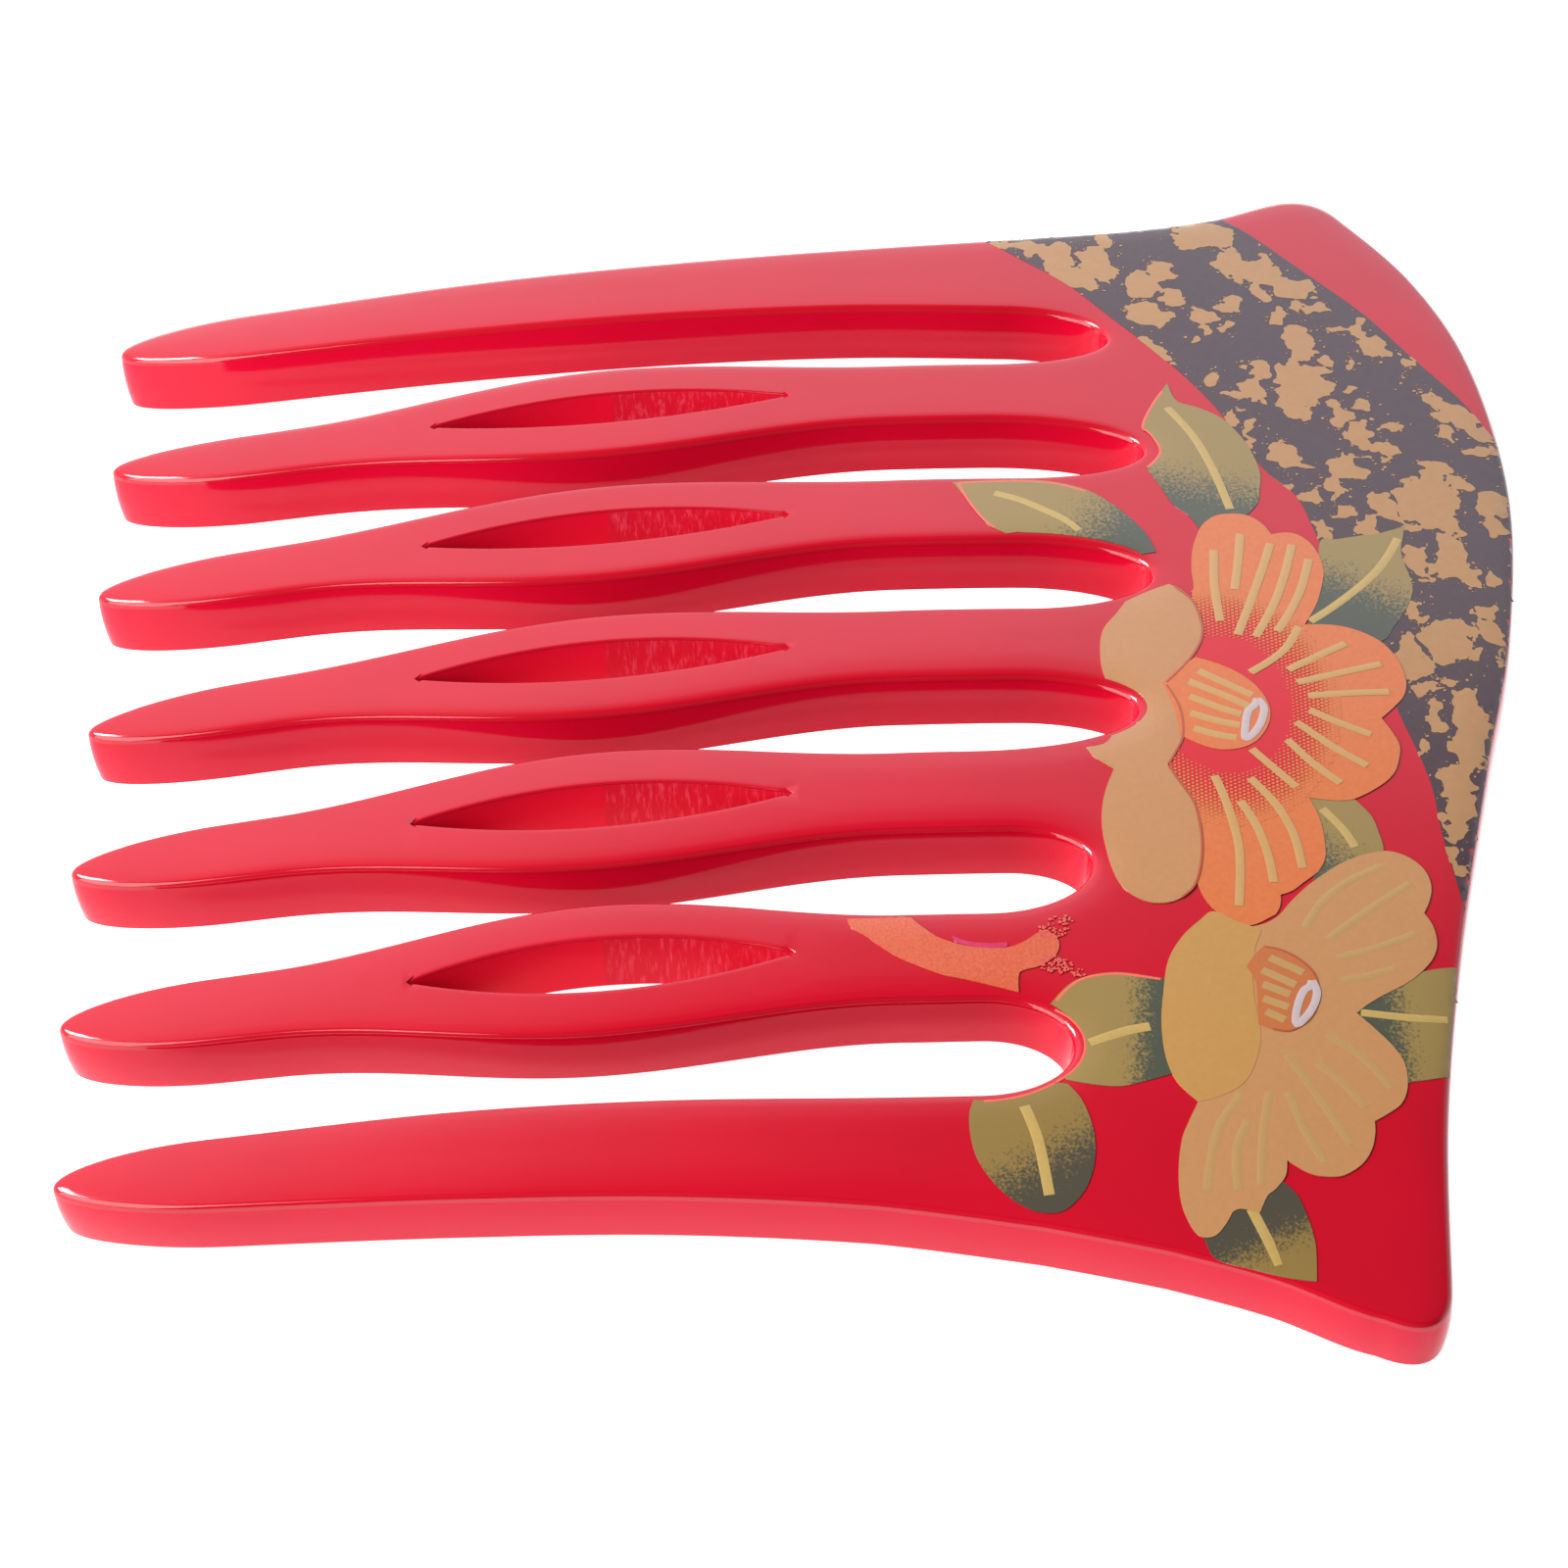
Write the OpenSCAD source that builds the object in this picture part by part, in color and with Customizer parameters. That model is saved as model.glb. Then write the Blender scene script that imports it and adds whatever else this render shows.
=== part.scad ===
// Seven-tooth dressing comb for the hair, cut from a sheet and pressed to a shallow dome.
// It lies on its two crown corners and one outer tooth tip, dome up.
// X runs across the teeth, +Y runs from the tips to the crown, Z is up.
// The outline is drawn in the flat plane that touches the dome at its top point,
// and every edge wall points at the dome's centre, so it stands square to the sheet.

/* [Sheet] */
// Thickness of the sheet
sheet_t = 3.2; // [2.4:0.1:4]
// Radius of the dome, to the middle of the sheet
dome_r = 200; // [160:5:400]

/* [Teeth] */
// Distance between two neighbouring inner teeth
tooth_pitch = 10.55; // [10.2:0.05:11]
// Half width of an inner tooth behind its rounded tip
tooth_half_tip = 1.82; // [1.5:0.02:2.2]
// Half width of an inner tooth at its neck, below the crown
tooth_half_neck = 2.72; // [2.4:0.02:2.9]
// How far the belly of an inner tooth swells past its sides, each way
belly_swell = 1.6; // [1:0.02:1.8]
// Middle of the bellies, measured in Y
belly_y = -11.6; // [-13:0.1:-10]
// Half the length of the belly
belly_reach = 15.7; // [13:0.1:16]
// Length of the rounded tip
tip_len = 7.7; // [4:0.1:9]
// Tips of the inner teeth, measured in Y
inner_tip_y = -37.7; // [-39:0.1:-36]
// Tip of the first outer tooth, measured in Y
first_tip_y = -38.5; // [-39:0.1:-37]
// Tip of the last outer tooth, measured in Y
last_tip_y = -38.05; // [-39:0.05:-37]

/* [Eyes] */
// Middle of the pointed eyes, measured in Y
eye_y = -10.9; // [-12:0.1:-10]
// Length of an eye, point to point
eye_len = 18.7; // [15:0.1:19]
// Width of an eye at its middle
eye_w = 2.8; // [2:0.05:3]

/* [Gaps] */
// Root of the first gap, measured in Y
root_1_y = 15; // [12:0.05:17]
// Root of the second gap, measured in Y
root_2_y = 16.45; // [12:0.05:18]
// Root of the third gap, measured in Y
root_3_y = 16.45; // [12:0.05:18]
// Root of the fourth gap, measured in Y
root_4_y = 15.4; // [12:0.05:17]
// Root of the fifth gap, measured in Y
root_5_y = 12.8; // [12:0.05:16]
// Root of the sixth gap, measured in Y
root_6_y = 11.65; // [11:0.05:15]

/* [Hidden] */

inner_teeth = 5;
gaps = inner_teeth + 1;
root_y = [root_1_y, root_2_y, root_3_y, root_4_y, root_5_y, root_6_y];

// Sides of the comb and of its two outer teeth, a row for each station.
// Columns: Y, outer side of the first tooth, its inner side,
// inner side of the last tooth, its outer side.
SIDES = [
    [-39, -36.90, -32.60, 28.85, 32.55],
    [-28, -36.15, -31.30, 29.10, 33.65],
    [-18, -36.00, -30.50, 29.12, 34.50],
    [ -8, -36.00, -30.05, 29.43, 35.30],
    [  2, -36.40, -29.70, 29.90, 36.45],
    [ 10, -37.15, -29.25, 29.95, 37.95],
    [ 16, -38.20, -29.00, 29.80, 39.40],
    [ 21, -39.95, -29.00, 29.80, 41.00],
    [ 26, -43.10, -29.00, 29.80, 43.10],
];
FIRST_OUT = 1;
FIRST_IN = 2;
LAST_IN = 3;
LAST_OUT = 4;

// The wave of the crown from the last tooth's corner to the first tooth's, as X and Y.
CROWN = [
    [ 41.0, 29.4],
    [ 31.0, 29.6],
    [ 20.0, 30.8],
    [  8.0, 32.8],
    [ -2.0, 34.6],
    [-14.0, 35.5],
    [-26.0, 34.4],
    [-34.5, 32.0],
    [-41.2, 28.6],
];
// The rounded corners: the point each curve bends towards
LAST_CORNER = [44.6, 29.4];
FIRST_CORNER = [-43.9, 27.2];
// Where the sides end and the corners begin, in Y
last_side_end = 26;
first_side_end = 24.9;

// How each inner tooth differs from the sizes above, a row for each tooth.
// Columns: its tip in Y, how far the tip has bent to +X, half width behind the tip,
// swell of the belly, how far the belly lies to +X, half width of the neck,
// how far the neck lies to +X, width of the eye, how far the eye lies to +X.
INNER = [
    [-0.05, -1.20,  0.00,  0.03,  0.00, -0.04, -0.10, -0.10, -0.02],
    [ 0.10, -0.40,  0.00, -0.06,  0.13, -0.03, -0.18, -0.14, -0.09],
    [ 0.30,  0.05, -0.17, -0.11,  0.14, -0.05, -0.12, -0.06, -0.12],
    [-0.05, -0.30,  0.00,  0.00, -0.07,  0.06, -0.10,  0.08, -0.03],
    [-0.25, -0.40,  0.13,  0.10,  0.00,  0.09,  0.32,  0.50, -0.12],
];
TIP_MORE = 0;
TIP_BEND = 1;
HALF_TIP_MORE = 2;
SWELL_MORE = 3;
BELLY_SHIFT = 4;
HALF_NECK_MORE = 5;
NECK_SHIFT = 6;
EYE_MORE = 7;
EYE_SHIFT = 8;
// Where the bend of a tip starts, where the neck's shift is whole and where the flare ends, in Y
lean_start = -24;
neck_y = 6;
flare_end = 4;

// The roots of the gaps, a row for each gap.
// Columns: the root in X, how far its curve runs down the far side and down the near side
ROOTS = [
    [-26.40, 5.7, 6.2],
    [-15.80, 8.0, 6.4],
    [ -5.35, 6.7, 6.3],
    [  4.80, 6.0, 8.2],
    [ 15.55, 4.0, 5.0],
    [ 27.20, 4.3, 4.4],
];
ROOT_X = 0;
FAR_RUN = 1;
NEAR_RUN = 2;

tip_steps = 5;
side_step = 2.2;
root_steps = 5;
crown_steps = 3;
corner_steps = 5;
eye_steps = 8;
sphere_fn = 240;
// How far past the sheet's two faces the rays reach
ray_margin = 8;

// A point on a smooth curve through the rows of a table, u counted in rows
function row_at(t, i) = t[max(0, min(len(t) - 1, i))];
function through(t, u) =
    let (i = min(floor(u), len(t) - 2), f = u - i)
    let (a = row_at(t, i - 1), b = row_at(t, i), c = row_at(t, i + 1), d = row_at(t, i + 2))
    0.5 * (2 * b + (c - a) * f + (2 * a - 5 * b + 4 * c - d) * f * f
        + (3 * b - a - 3 * c + d) * f * f * f);

// One side of the comb at a height y: the station's row is found by its Y
function station(y, i = 0) =
    i >= len(SIDES) - 2 || y < SIDES[i + 1][0] ? i : station(y, i + 1);
function side_x(col, y) =
    let (i = station(y), f = (y - SIDES[i][0]) / (SIDES[i + 1][0] - SIDES[i][0]))
    through([for (row = SIDES) row[col]], i + f);

// How much of its width a tooth has at a distance from its tip
function tip_share(d) = d >= tip_len ? 1 : sqrt(max(0, 1 - pow(1 - d / tip_len, 2)));

// How far along a swell a height is: 1 in its middle, 0 from its ends on
function swell_share(y) =
    let (off = abs(y - belly_y) / belly_reach)
    off < 1 ? pow(cos(90 * off), 2) : 0;

// Half width of inner tooth i: an even flare with a swell around the eye
function tooth_half(i, y) =
    let (row = INNER[i - 1], tip = tip_y(i))
    let (low = tooth_half_tip + row[HALF_TIP_MORE], high = tooth_half_neck + row[HALF_NECK_MORE])
    tip_share(y - tip)
        * (low + (high - low) * min(1, (y - tip) / (flare_end - tip))
        + (belly_swell + row[SWELL_MORE]) * swell_share(y));

// Middle line of an inner tooth, which was cut and buffed by hand and wanders a little
function tooth_x(i, y = eye_y) =
    let (row = INNER[i - 1])
    let (bend = max(0, lean_start - y) / (lean_start - tip_y(i)))
    let (rise = min(1, max(0, (y - eye_y) / (neck_y - eye_y))))
    (i - (inner_teeth + 1) / 2) * tooth_pitch
        + row[TIP_BEND] * bend * bend
        + row[BELLY_SHIFT] * swell_share(y)
        + row[NECK_SHIFT] * rise * rise * (3 - 2 * rise);

// Left and right edge of tooth i (0 to 6) at a height y
function outer_edge(mid, half, d) = mid + half * tip_share(d);
function left_edge(i, y) =
    i == 0 ? let (a = side_x(FIRST_OUT, y), b = side_x(FIRST_IN, y))
        outer_edge((a + b) / 2, (a - b) / 2, y - first_tip_y)
    : i == gaps ? let (a = side_x(LAST_IN, y), b = side_x(LAST_OUT, y))
        outer_edge((a + b) / 2, (a - b) / 2, y - last_tip_y)
    : tooth_x(i, y) - tooth_half(i, y);
function right_edge(i, y) =
    i == 0 ? let (a = side_x(FIRST_OUT, y), b = side_x(FIRST_IN, y))
        outer_edge((a + b) / 2, (b - a) / 2, y - first_tip_y)
    : i == gaps ? let (a = side_x(LAST_IN, y), b = side_x(LAST_OUT, y))
        outer_edge((a + b) / 2, (b - a) / 2, y - last_tip_y)
    : tooth_x(i, y) + tooth_half(i, y);
function tip_y(i) =
    i == 0 ? first_tip_y : i == gaps ? last_tip_y : inner_tip_y + INNER[i - 1][TIP_MORE];

// Heights along a tooth's edge, close together at the tip, up to a last height
function heights(tip, last) =
    let (body = last - tip - tip_len, n = ceil(body / side_step))
    concat(
        [for (k = [0 : tip_steps - 1]) tip + tip_len * (1 - cos(90 * k / tip_steps))],
        [for (k = [0 : n]) tip + tip_len + body * k / n]);

function down(h) = [for (k = [len(h) - 1 : -1 : 1]) h[k]];

// Where the far and the near side of gap i turn into its root
function far_base(i) = root_y[i] - ROOTS[i][FAR_RUN];
function near_base(i) = root_y[i] - ROOTS[i][NEAR_RUN];

// The round root between tooth i and the next, from left to right: two quarters of ovals
function root(i) =
    let (x = ROOTS[i][ROOT_X], l = right_edge(i, far_base(i)), r = left_edge(i + 1, near_base(i)))
    concat(
        [for (k = [1 : root_steps])
            let (a = 90 * k / root_steps)
            [x + (l - x) * cos(a), far_base(i) + ROOTS[i][FAR_RUN] * sin(a)]],
        [for (k = [root_steps - 1 : -1 : 1])
            let (a = 90 * k / root_steps)
            [x + (r - x) * cos(a), near_base(i) + ROOTS[i][NEAR_RUN] * sin(a)]]);

// Tooth i and the gap after it, from the tooth's tip to the next tooth's
function tooth_and_gap(i) =
    concat(
        [for (y = heights(tip_y(i), far_base(i))) [right_edge(i, y), y]],
        root(i),
        [for (y = down(heights(tip_y(i + 1), near_base(i)))) [left_edge(i + 1, y), y]]);

// A corner that leaves one point, bends towards a second and ends at a third
function corner(a, b, c) =
    [for (k = [0 : corner_steps])
        let (f = k / corner_steps)
        a * pow(1 - f, 2) + b * 2 * f * (1 - f) + c * f * f];

last_side = [for (y = heights(last_tip_y, last_side_end)) [right_edge(gaps, y), y]];
first_side = [for (y = down(heights(first_tip_y, first_side_end))) [left_edge(0, y), y]];
crown_rows = len(CROWN) - 1;
crown = [for (k = [1 : crown_rows * crown_steps - 1]) through(CROWN, k / crown_steps)];

outline = concat(
    [for (i = [0 : gaps - 1]) each tooth_and_gap(i)],
    last_side,
    [for (k = [1 : corner_steps]) corner(last_side[len(last_side) - 1], LAST_CORNER, CROWN[0])[k]],
    crown,
    [for (k = [0 : corner_steps - 1]) corner(CROWN[crown_rows], FIRST_CORNER, first_side[0])[k]],
    first_side);

// The pointed eye of inner tooth i: where its middle is in X, and two shallow arcs that meet
function eye_x(i) = tooth_x(i) + INNER[i - 1][EYE_SHIFT];
function eye(i) =
    let (half = (eye_w + INNER[i - 1][EYE_MORE]) / 2)
    concat(
        [for (k = [0 : eye_steps - 1])
            let (s = 2 * k / eye_steps - 1) [half * (1 - s * s), eye_len / 2 * s]],
        [for (k = [0 : eye_steps - 1])
            let (s = 1 - 2 * k / eye_steps) [-half * (1 - s * s), eye_len / 2 * s]]);

// How much an outline point closes in when it moves from the flat plane onto the dome,
// h above the middle of the sheet
function dome_share(p, h) = (dome_r + h) / sqrt(dome_r * dome_r + p * p);

// The box round the comb: its sides are the upper edge of the sheet, which is the wider one,
// and its floor is the point of the lower edge that is farthest from the dome's top point
upper_edge = [for (p = outline) p * dome_share(norm(p), sheet_t / 2)];
box_mid_x = (max([for (p = upper_edge) p[0]]) + min([for (p = upper_edge) p[0]])) / 2;
box_mid_y = (max([for (p = upper_edge) p[1]]) + min([for (p = upper_edge) p[1]])) / 2;
rest_z = dome_r * (1 - dome_share(max([for (p = outline) norm(p)]), -sheet_t / 2));

module flat_outline() {
    difference() {
        polygon(outline);
        for (i = [1 : inner_teeth]) translate([eye_x(i), eye_y]) polygon(eye(i));
    }
}

// The outline carried out from the dome's centre, wider with the distance
module rays() {
    low = dome_r - sheet_t / 2 - ray_margin;
    high = dome_r + sheet_t / 2 + ray_margin;
    translate([0, 0, low])
        linear_extrude(height = high - low, scale = high / low)
            scale(low / dome_r) flat_outline();
}

// One pressed sheet: the part of the dome's wall that lies inside the outline
module comb() {
    color("crimson")
        translate([-box_mid_x, -box_mid_y, rest_z - dome_r])
            difference() {
                intersection() {
                    rays();
                    rotate([0, 90, 0]) sphere(r = dome_r + sheet_t / 2, $fn = sphere_fn);
                }
                rotate([0, 90, 0]) sphere(r = dome_r - sheet_t / 2, $fn = sphere_fn);
            }
}

comb();
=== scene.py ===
"""Looks of a dressing comb for the hair: one pressed sheet of red acrylic with a printed crown.

The comb's body, its printed camellias, leaves and band, and its torn gold leaf are built here
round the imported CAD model. Shapes are drawn in the comb's flat plan, in millimetres, and then
pressed to its dome. U runs across the teeth and V from the tips to the crown.
"""

import logging
import math
from dataclasses import dataclass, field
from enum import Enum

import bpy
import numpy as np
from mathutils import Matrix, Vector
from mathutils.geometry import delaunay_2d_cdt


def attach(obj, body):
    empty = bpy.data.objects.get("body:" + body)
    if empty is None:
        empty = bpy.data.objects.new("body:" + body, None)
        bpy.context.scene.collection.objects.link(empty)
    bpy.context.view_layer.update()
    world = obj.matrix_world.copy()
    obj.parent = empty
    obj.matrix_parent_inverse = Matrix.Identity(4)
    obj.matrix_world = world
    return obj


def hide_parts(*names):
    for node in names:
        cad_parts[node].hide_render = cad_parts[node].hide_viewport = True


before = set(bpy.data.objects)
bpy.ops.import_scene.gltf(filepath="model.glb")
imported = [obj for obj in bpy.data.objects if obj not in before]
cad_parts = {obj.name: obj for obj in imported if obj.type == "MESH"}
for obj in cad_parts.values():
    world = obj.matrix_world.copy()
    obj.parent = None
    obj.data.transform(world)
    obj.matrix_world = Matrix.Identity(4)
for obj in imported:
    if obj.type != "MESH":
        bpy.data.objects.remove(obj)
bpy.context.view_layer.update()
LOG = logging.getLogger("comb")
MM = 0.001
# Keeps a division from failing where a length is nothing
TINY = 1e-12
# Cast acrylic and the clear coat over the print bend light alike
ACRYLIC_IOR = 1.49
# The numbers of the Mix node's two colour inputs and of its colour output, whose names it uses twice
MIX_FIRST, MIX_SECOND, MIX_COLOUR = 6, 7, 2
# Each ink stands this far above the one below it, in mm: more than a real one, so none flickers
INK_STEP = 0.012
# How far every film reaches down into the sheet in mm, so no gap shows
FILM_SUNK = 0.02

Point = tuple[float, float]
Place = tuple[float, float, float]
Value = np.ndarray | float
Run = tuple[Point, ...]


# Small helpers for colours, nodes and curves

def linear(code: str) -> tuple[float, float, float, float]:
    """Turns an sRGB hex colour into the linear values that a shader takes.

    Args:
        code: six hex digits, such as "b0041c".

    Returns:
        Red, green, blue and an alpha of 1.
    """
    shares = [int(code[i:i + 2], 16) / 255 for i in (0, 2, 4)]
    levels = [s / 12.92 if s <= 0.04045 else ((s + 0.055) / 1.055) ** 2.4 for s in shares]
    return (levels[0], levels[1], levels[2], 1.0)


def add(tree: bpy.types.NodeTree, kind: str, values: dict | None = None,
        links: dict | None = None) -> bpy.types.Node:
    """Adds one node with its settings and the links into it.

    Args:
        tree: the node tree that gets the node.
        kind: the node's type name.
        values: settings by attribute name, or input values by input name or number.
        links: output sockets by the name or number of the input that each one feeds.

    Returns:
        The new node.
    """
    made = tree.nodes.new(kind)
    for key, value in (values or {}).items():
        if isinstance(key, str) and hasattr(made, key):
            setattr(made, key, value)
        else:
            made.inputs[key].default_value = value
    for key, socket in (links or {}).items():
        tree.links.new(socket, made.inputs[key])
    return made


def between(a: Value, b: Value, c: Value, d: Value, f: Value) -> Value:
    """Gives what lies a share f of the way from b to c on a smooth curve through all four."""
    return 0.5 * (2 * b + (c - a) * f + (2 * a - 5 * b + 4 * c - d) * f ** 2
                  + (3 * b - a - 3 * c + d) * f ** 3)


def through(points: np.ndarray, step: float, closed: bool = False) -> np.ndarray:
    """Draws a smooth curve through points.

    Args:
        points: the points, one a row.
        step: the distance between two points of the result.
        closed: whether the last point runs on into the first.

    Returns:
        Points along the curve, without the last one when it is closed.
    """
    count = len(points)
    parts = []
    for i in range(count if closed else count - 1):
        picks = [i - 1, i, i + 1, i + 2]
        rows = [points[k % count] if closed else points[min(max(k, 0), count - 1)] for k in picks]
        pieces = max(1, math.ceil(float(np.linalg.norm(rows[2] - rows[1])) / step))
        parts.append(between(*rows, (np.arange(pieces) / pieces)[:, None]))
    if not closed:
        parts.append(points[-1:])
    return np.concatenate(parts)


def edge_pairs(start: int, count: int) -> list[tuple[int, int]]:
    """Joins a closed row of points, numbered from start, into edges."""
    return [(start + k, start + (k + 1) % count) for k in range(count)]


def inside(points: np.ndarray, loop: np.ndarray, batch: int = 2000) -> np.ndarray:
    """Tells which points lie inside a closed loop.

    Args:
        points: the points to test, one a row.
        loop: the loop's corners in order.
        batch: how many points are tested at a time.

    Returns:
        True for each point that lies inside.
    """
    low, high = loop.min(0), loop.max(0)
    found = np.zeros(len(points), bool)
    near = np.nonzero(np.all((points > low) & (points < high), axis=1))[0]
    ends = np.roll(loop, -1, axis=0)
    rise = ends[:, 1] - loop[:, 1]
    rise[rise == 0] = TINY
    for part in np.array_split(near, max(1, len(near) // batch)):
        x, y = points[part, 0][:, None], points[part, 1][:, None]
        crosses = (loop[:, 1] > y) != (ends[:, 1] > y)
        at = loop[:, 0] + (ends[:, 0] - loop[:, 0]) * (y - loop[:, 1]) / rise
        found[part] = (crosses & (x < at)).sum(1) % 2 == 1
    return found


@dataclass(frozen=True)
class Grain:
    """Even random noise over the plan, the same on every run."""

    seed: int
    cells: int = 256

    def at(self, points: np.ndarray, size: float) -> np.ndarray:
        """Reads the noise at points.

        Args:
            points: plan points in mm.
            size: the width of one grain in mm.

        Returns:
            A value from -1 to 1 for each point.
        """
        table = np.random.default_rng(self.seed).uniform(-1, 1, (self.cells, self.cells))
        spots = points / size + self.cells
        base = np.floor(spots).astype(int)
        f = spots - base
        f = f * f * (3 - 2 * f)
        i, j = base[:, 0] % self.cells, base[:, 1] % self.cells
        i2, j2 = (i + 1) % self.cells, (j + 1) % self.cells
        low = table[i, j] * (1 - f[:, 0]) + table[i2, j] * f[:, 0]
        high = table[i, j2] * (1 - f[:, 0]) + table[i2, j2] * f[:, 0]
        return low * (1 - f[:, 1]) + high * f[:, 1]


# The comb's shape

@dataclass(frozen=True)
class Sheet:
    """The pressed acrylic sheet: how thick it is, how it is domed and how its edges are eased."""

    thickness: float = 3.2
    dome_r: float = 200.0
    edge_r: float = 0.35
    eye_edge_r: float = 0.12
    under_edge_r: float = 0.12
    # Buffing wore the face down beside the outer edge: by how much, and over what width
    pillow: float = 0.12
    pillow_reach: float = 1.9
    # The plan point in the middle of the CAD box, and the height of the dome's top as it rests
    mid_x: float = 0.224682
    mid_y: float = -1.2082
    rest_z: float = 7.98486

    def place(self, plan: np.ndarray, height: np.ndarray) -> np.ndarray:
        """Presses plan points to the dome, in the CAD frame.

        Args:
            plan: plan points in mm, one a row.
            height: how far each lies above the middle of the sheet, in mm.

        Returns:
            The places in metres.
        """
        rays = np.column_stack([plan, np.full(len(plan), self.dome_r)])
        rays /= np.linalg.norm(rays, axis=1)[:, None]
        spots = rays * (self.dome_r + np.asarray(height))[:, None]
        return (spots + self.shift()) * MM

    def shift(self) -> np.ndarray:
        """Gives the way from the dome's centre, set down by its radius, to the CAD frame in mm."""
        return np.array([-self.mid_x, -self.mid_y, self.rest_z - self.dome_r])

    def eased(self, gap: np.ndarray, radius: float) -> np.ndarray:
        """Gives how far a rounded edge falls below its face, for distances from the edge in mm."""
        inner = np.clip(radius - gap, 0, radius)
        return radius - np.sqrt(radius ** 2 - inner ** 2)

    def top(self, outer: np.ndarray, eye: np.ndarray) -> np.ndarray:
        """Gives the height of the upper face.

        Args:
            outer: how far in from the outline the points lie, in mm.
            eye: how far from the nearest eye they lie, in mm.

        Returns:
            The heights in mm, from the middle of the sheet.
        """
        fall = self.pillow * np.clip(1 - outer / self.pillow_reach, 0, 1) ** 2
        face = self.thickness / 2 - fall
        return face - self.eased(outer, self.edge_r) - self.eased(eye, self.eye_edge_r)

    def under(self, outer: np.ndarray, eye: np.ndarray) -> np.ndarray:
        """Gives the height of the underside, whose edges were hardly eased."""
        return self.eased(np.minimum(outer, eye), self.under_edge_r) - self.thickness / 2


@dataclass(frozen=True)
class Tooth:
    """How one inner tooth differs from the common sizes, in mm: it was cut and buffed by hand."""

    tip: float
    tip_bend: float
    half_tip: float
    swell: float
    belly_shift: float
    half_neck: float
    neck_shift: float
    eye: float
    eye_shift: float


@dataclass(frozen=True)
class Root:
    """The root of a gap: where it is and how far its curve runs down either side, in mm."""

    x: float
    y: float
    far_run: float
    near_run: float


@dataclass
class Plan:
    """The comb's outline and its eyes, from the same sizes as the part's source."""

    tooth_pitch: float = 10.55
    tooth_half_tip: float = 1.82
    tooth_half_neck: float = 2.72
    belly_swell: float = 1.6
    belly_y: float = -11.6
    belly_reach: float = 15.7
    tip_len: float = 7.7
    inner_tip_y: float = -37.7
    first_tip_y: float = -38.5
    last_tip_y: float = -38.05
    eye_y: float = -10.9
    eye_len: float = 18.7
    eye_w: float = 2.8
    # The five inner teeth, in the order of Tooth's fields
    teeth: tuple[Tooth, ...] = (
        Tooth(-0.05, -1.20, 0.00, 0.03, 0.00, -0.04, -0.10, -0.10, -0.02),
        Tooth(0.10, -0.40, 0.00, -0.06, 0.13, -0.03, -0.18, -0.14, -0.09),
        Tooth(0.30, 0.05, -0.17, -0.11, 0.14, -0.05, -0.12, -0.06, -0.12),
        Tooth(-0.05, -0.30, 0.00, 0.00, -0.07, 0.06, -0.10, 0.08, -0.03),
        Tooth(-0.25, -0.40, 0.13, 0.10, 0.00, 0.09, 0.32, 0.50, -0.12),
    )
    # The roots of the six gaps, in the order of Root's fields
    roots: tuple[Root, ...] = (
        Root(-26.40, 15.0, 5.7, 6.2), Root(-15.80, 16.45, 8.0, 6.4), Root(-5.35, 16.45, 6.7, 6.3),
        Root(4.80, 15.4, 6.0, 8.2), Root(15.55, 12.8, 4.0, 5.0), Root(27.20, 11.65, 4.3, 4.4),
    )
    lean_start: float = -24.0
    neck_y: float = 6.0
    flare_end: float = 4.0
    inner_teeth: int = 5
    # Where the last and the first tooth's outer sides end and their corners begin
    last_side_end: float = 26.0
    first_side_end: float = 24.9
    last_corner: Point = (44.6, 29.4)
    first_corner: Point = (-43.9, 27.2)
    side_step: float = 0.5
    tip_steps: int = 16
    root_steps: int = 18
    corner_steps: int = 16
    eye_steps: int = 44
    # Columns: V, outer side of the first tooth, its inner side, inner side of the last, its outer
    sides: tuple[tuple[float, ...], ...] = (
        (-39, -36.90, -32.60, 28.85, 32.55),
        (-28, -36.15, -31.30, 29.10, 33.65),
        (-18, -36.00, -30.50, 29.12, 34.50),
        (-8, -36.00, -30.05, 29.43, 35.30),
        (2, -36.40, -29.70, 29.90, 36.45),
        (10, -37.15, -29.25, 29.95, 37.95),
        (16, -38.20, -29.00, 29.80, 39.40),
        (21, -39.95, -29.00, 29.80, 41.00),
        (26, -43.10, -29.00, 29.80, 43.10),
    )
    # Columns: U, V, from the last tooth's corner to the first tooth's
    crown: tuple[Point, ...] = (
        (41.0, 29.4), (31.0, 29.6), (20.0, 30.8), (8.0, 32.8), (-2.0, 34.6),
        (-14.0, 35.5), (-26.0, 34.4), (-34.5, 32.0), (-41.2, 28.6),
    )
    # How far distances to an edge are measured, in mm, and in what batches and strips of points
    reach: float = 3.2
    batch: int = 250
    strip: float = 4.0
    # How much nearer to an edge a point that was moved in may lie than it should
    slack: float = 0.004
    outline: np.ndarray = field(init=False)
    eyes: list[np.ndarray] = field(init=False)

    def __post_init__(self) -> None:
        """Draws the outline and the eyes once."""
        self.outline = self.draw_outline()
        self.eyes = [self.draw_eye(i) for i in range(1, self.inner_teeth + 1)]

    def loops(self) -> list[np.ndarray]:
        """Gives every closed edge of the plan, the outer one first."""
        return [self.outline, *self.eyes]

    def side_x(self, column: int, y: float) -> float:
        """Finds one side of the comb at a height.

        Args:
            column: the side's column in the table of sides.
            y: the height in the plan.

        Returns:
            The side's place across the teeth.
        """
        rows = self.sides
        i = 0
        while i < len(rows) - 2 and y >= rows[i + 1][0]:
            i += 1
        f = (y - rows[i][0]) / (rows[i + 1][0] - rows[i][0])
        picks = (rows[min(max(k, 0), len(rows) - 1)][column] for k in range(i - 1, i + 3))
        return between(*picks, f)

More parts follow.
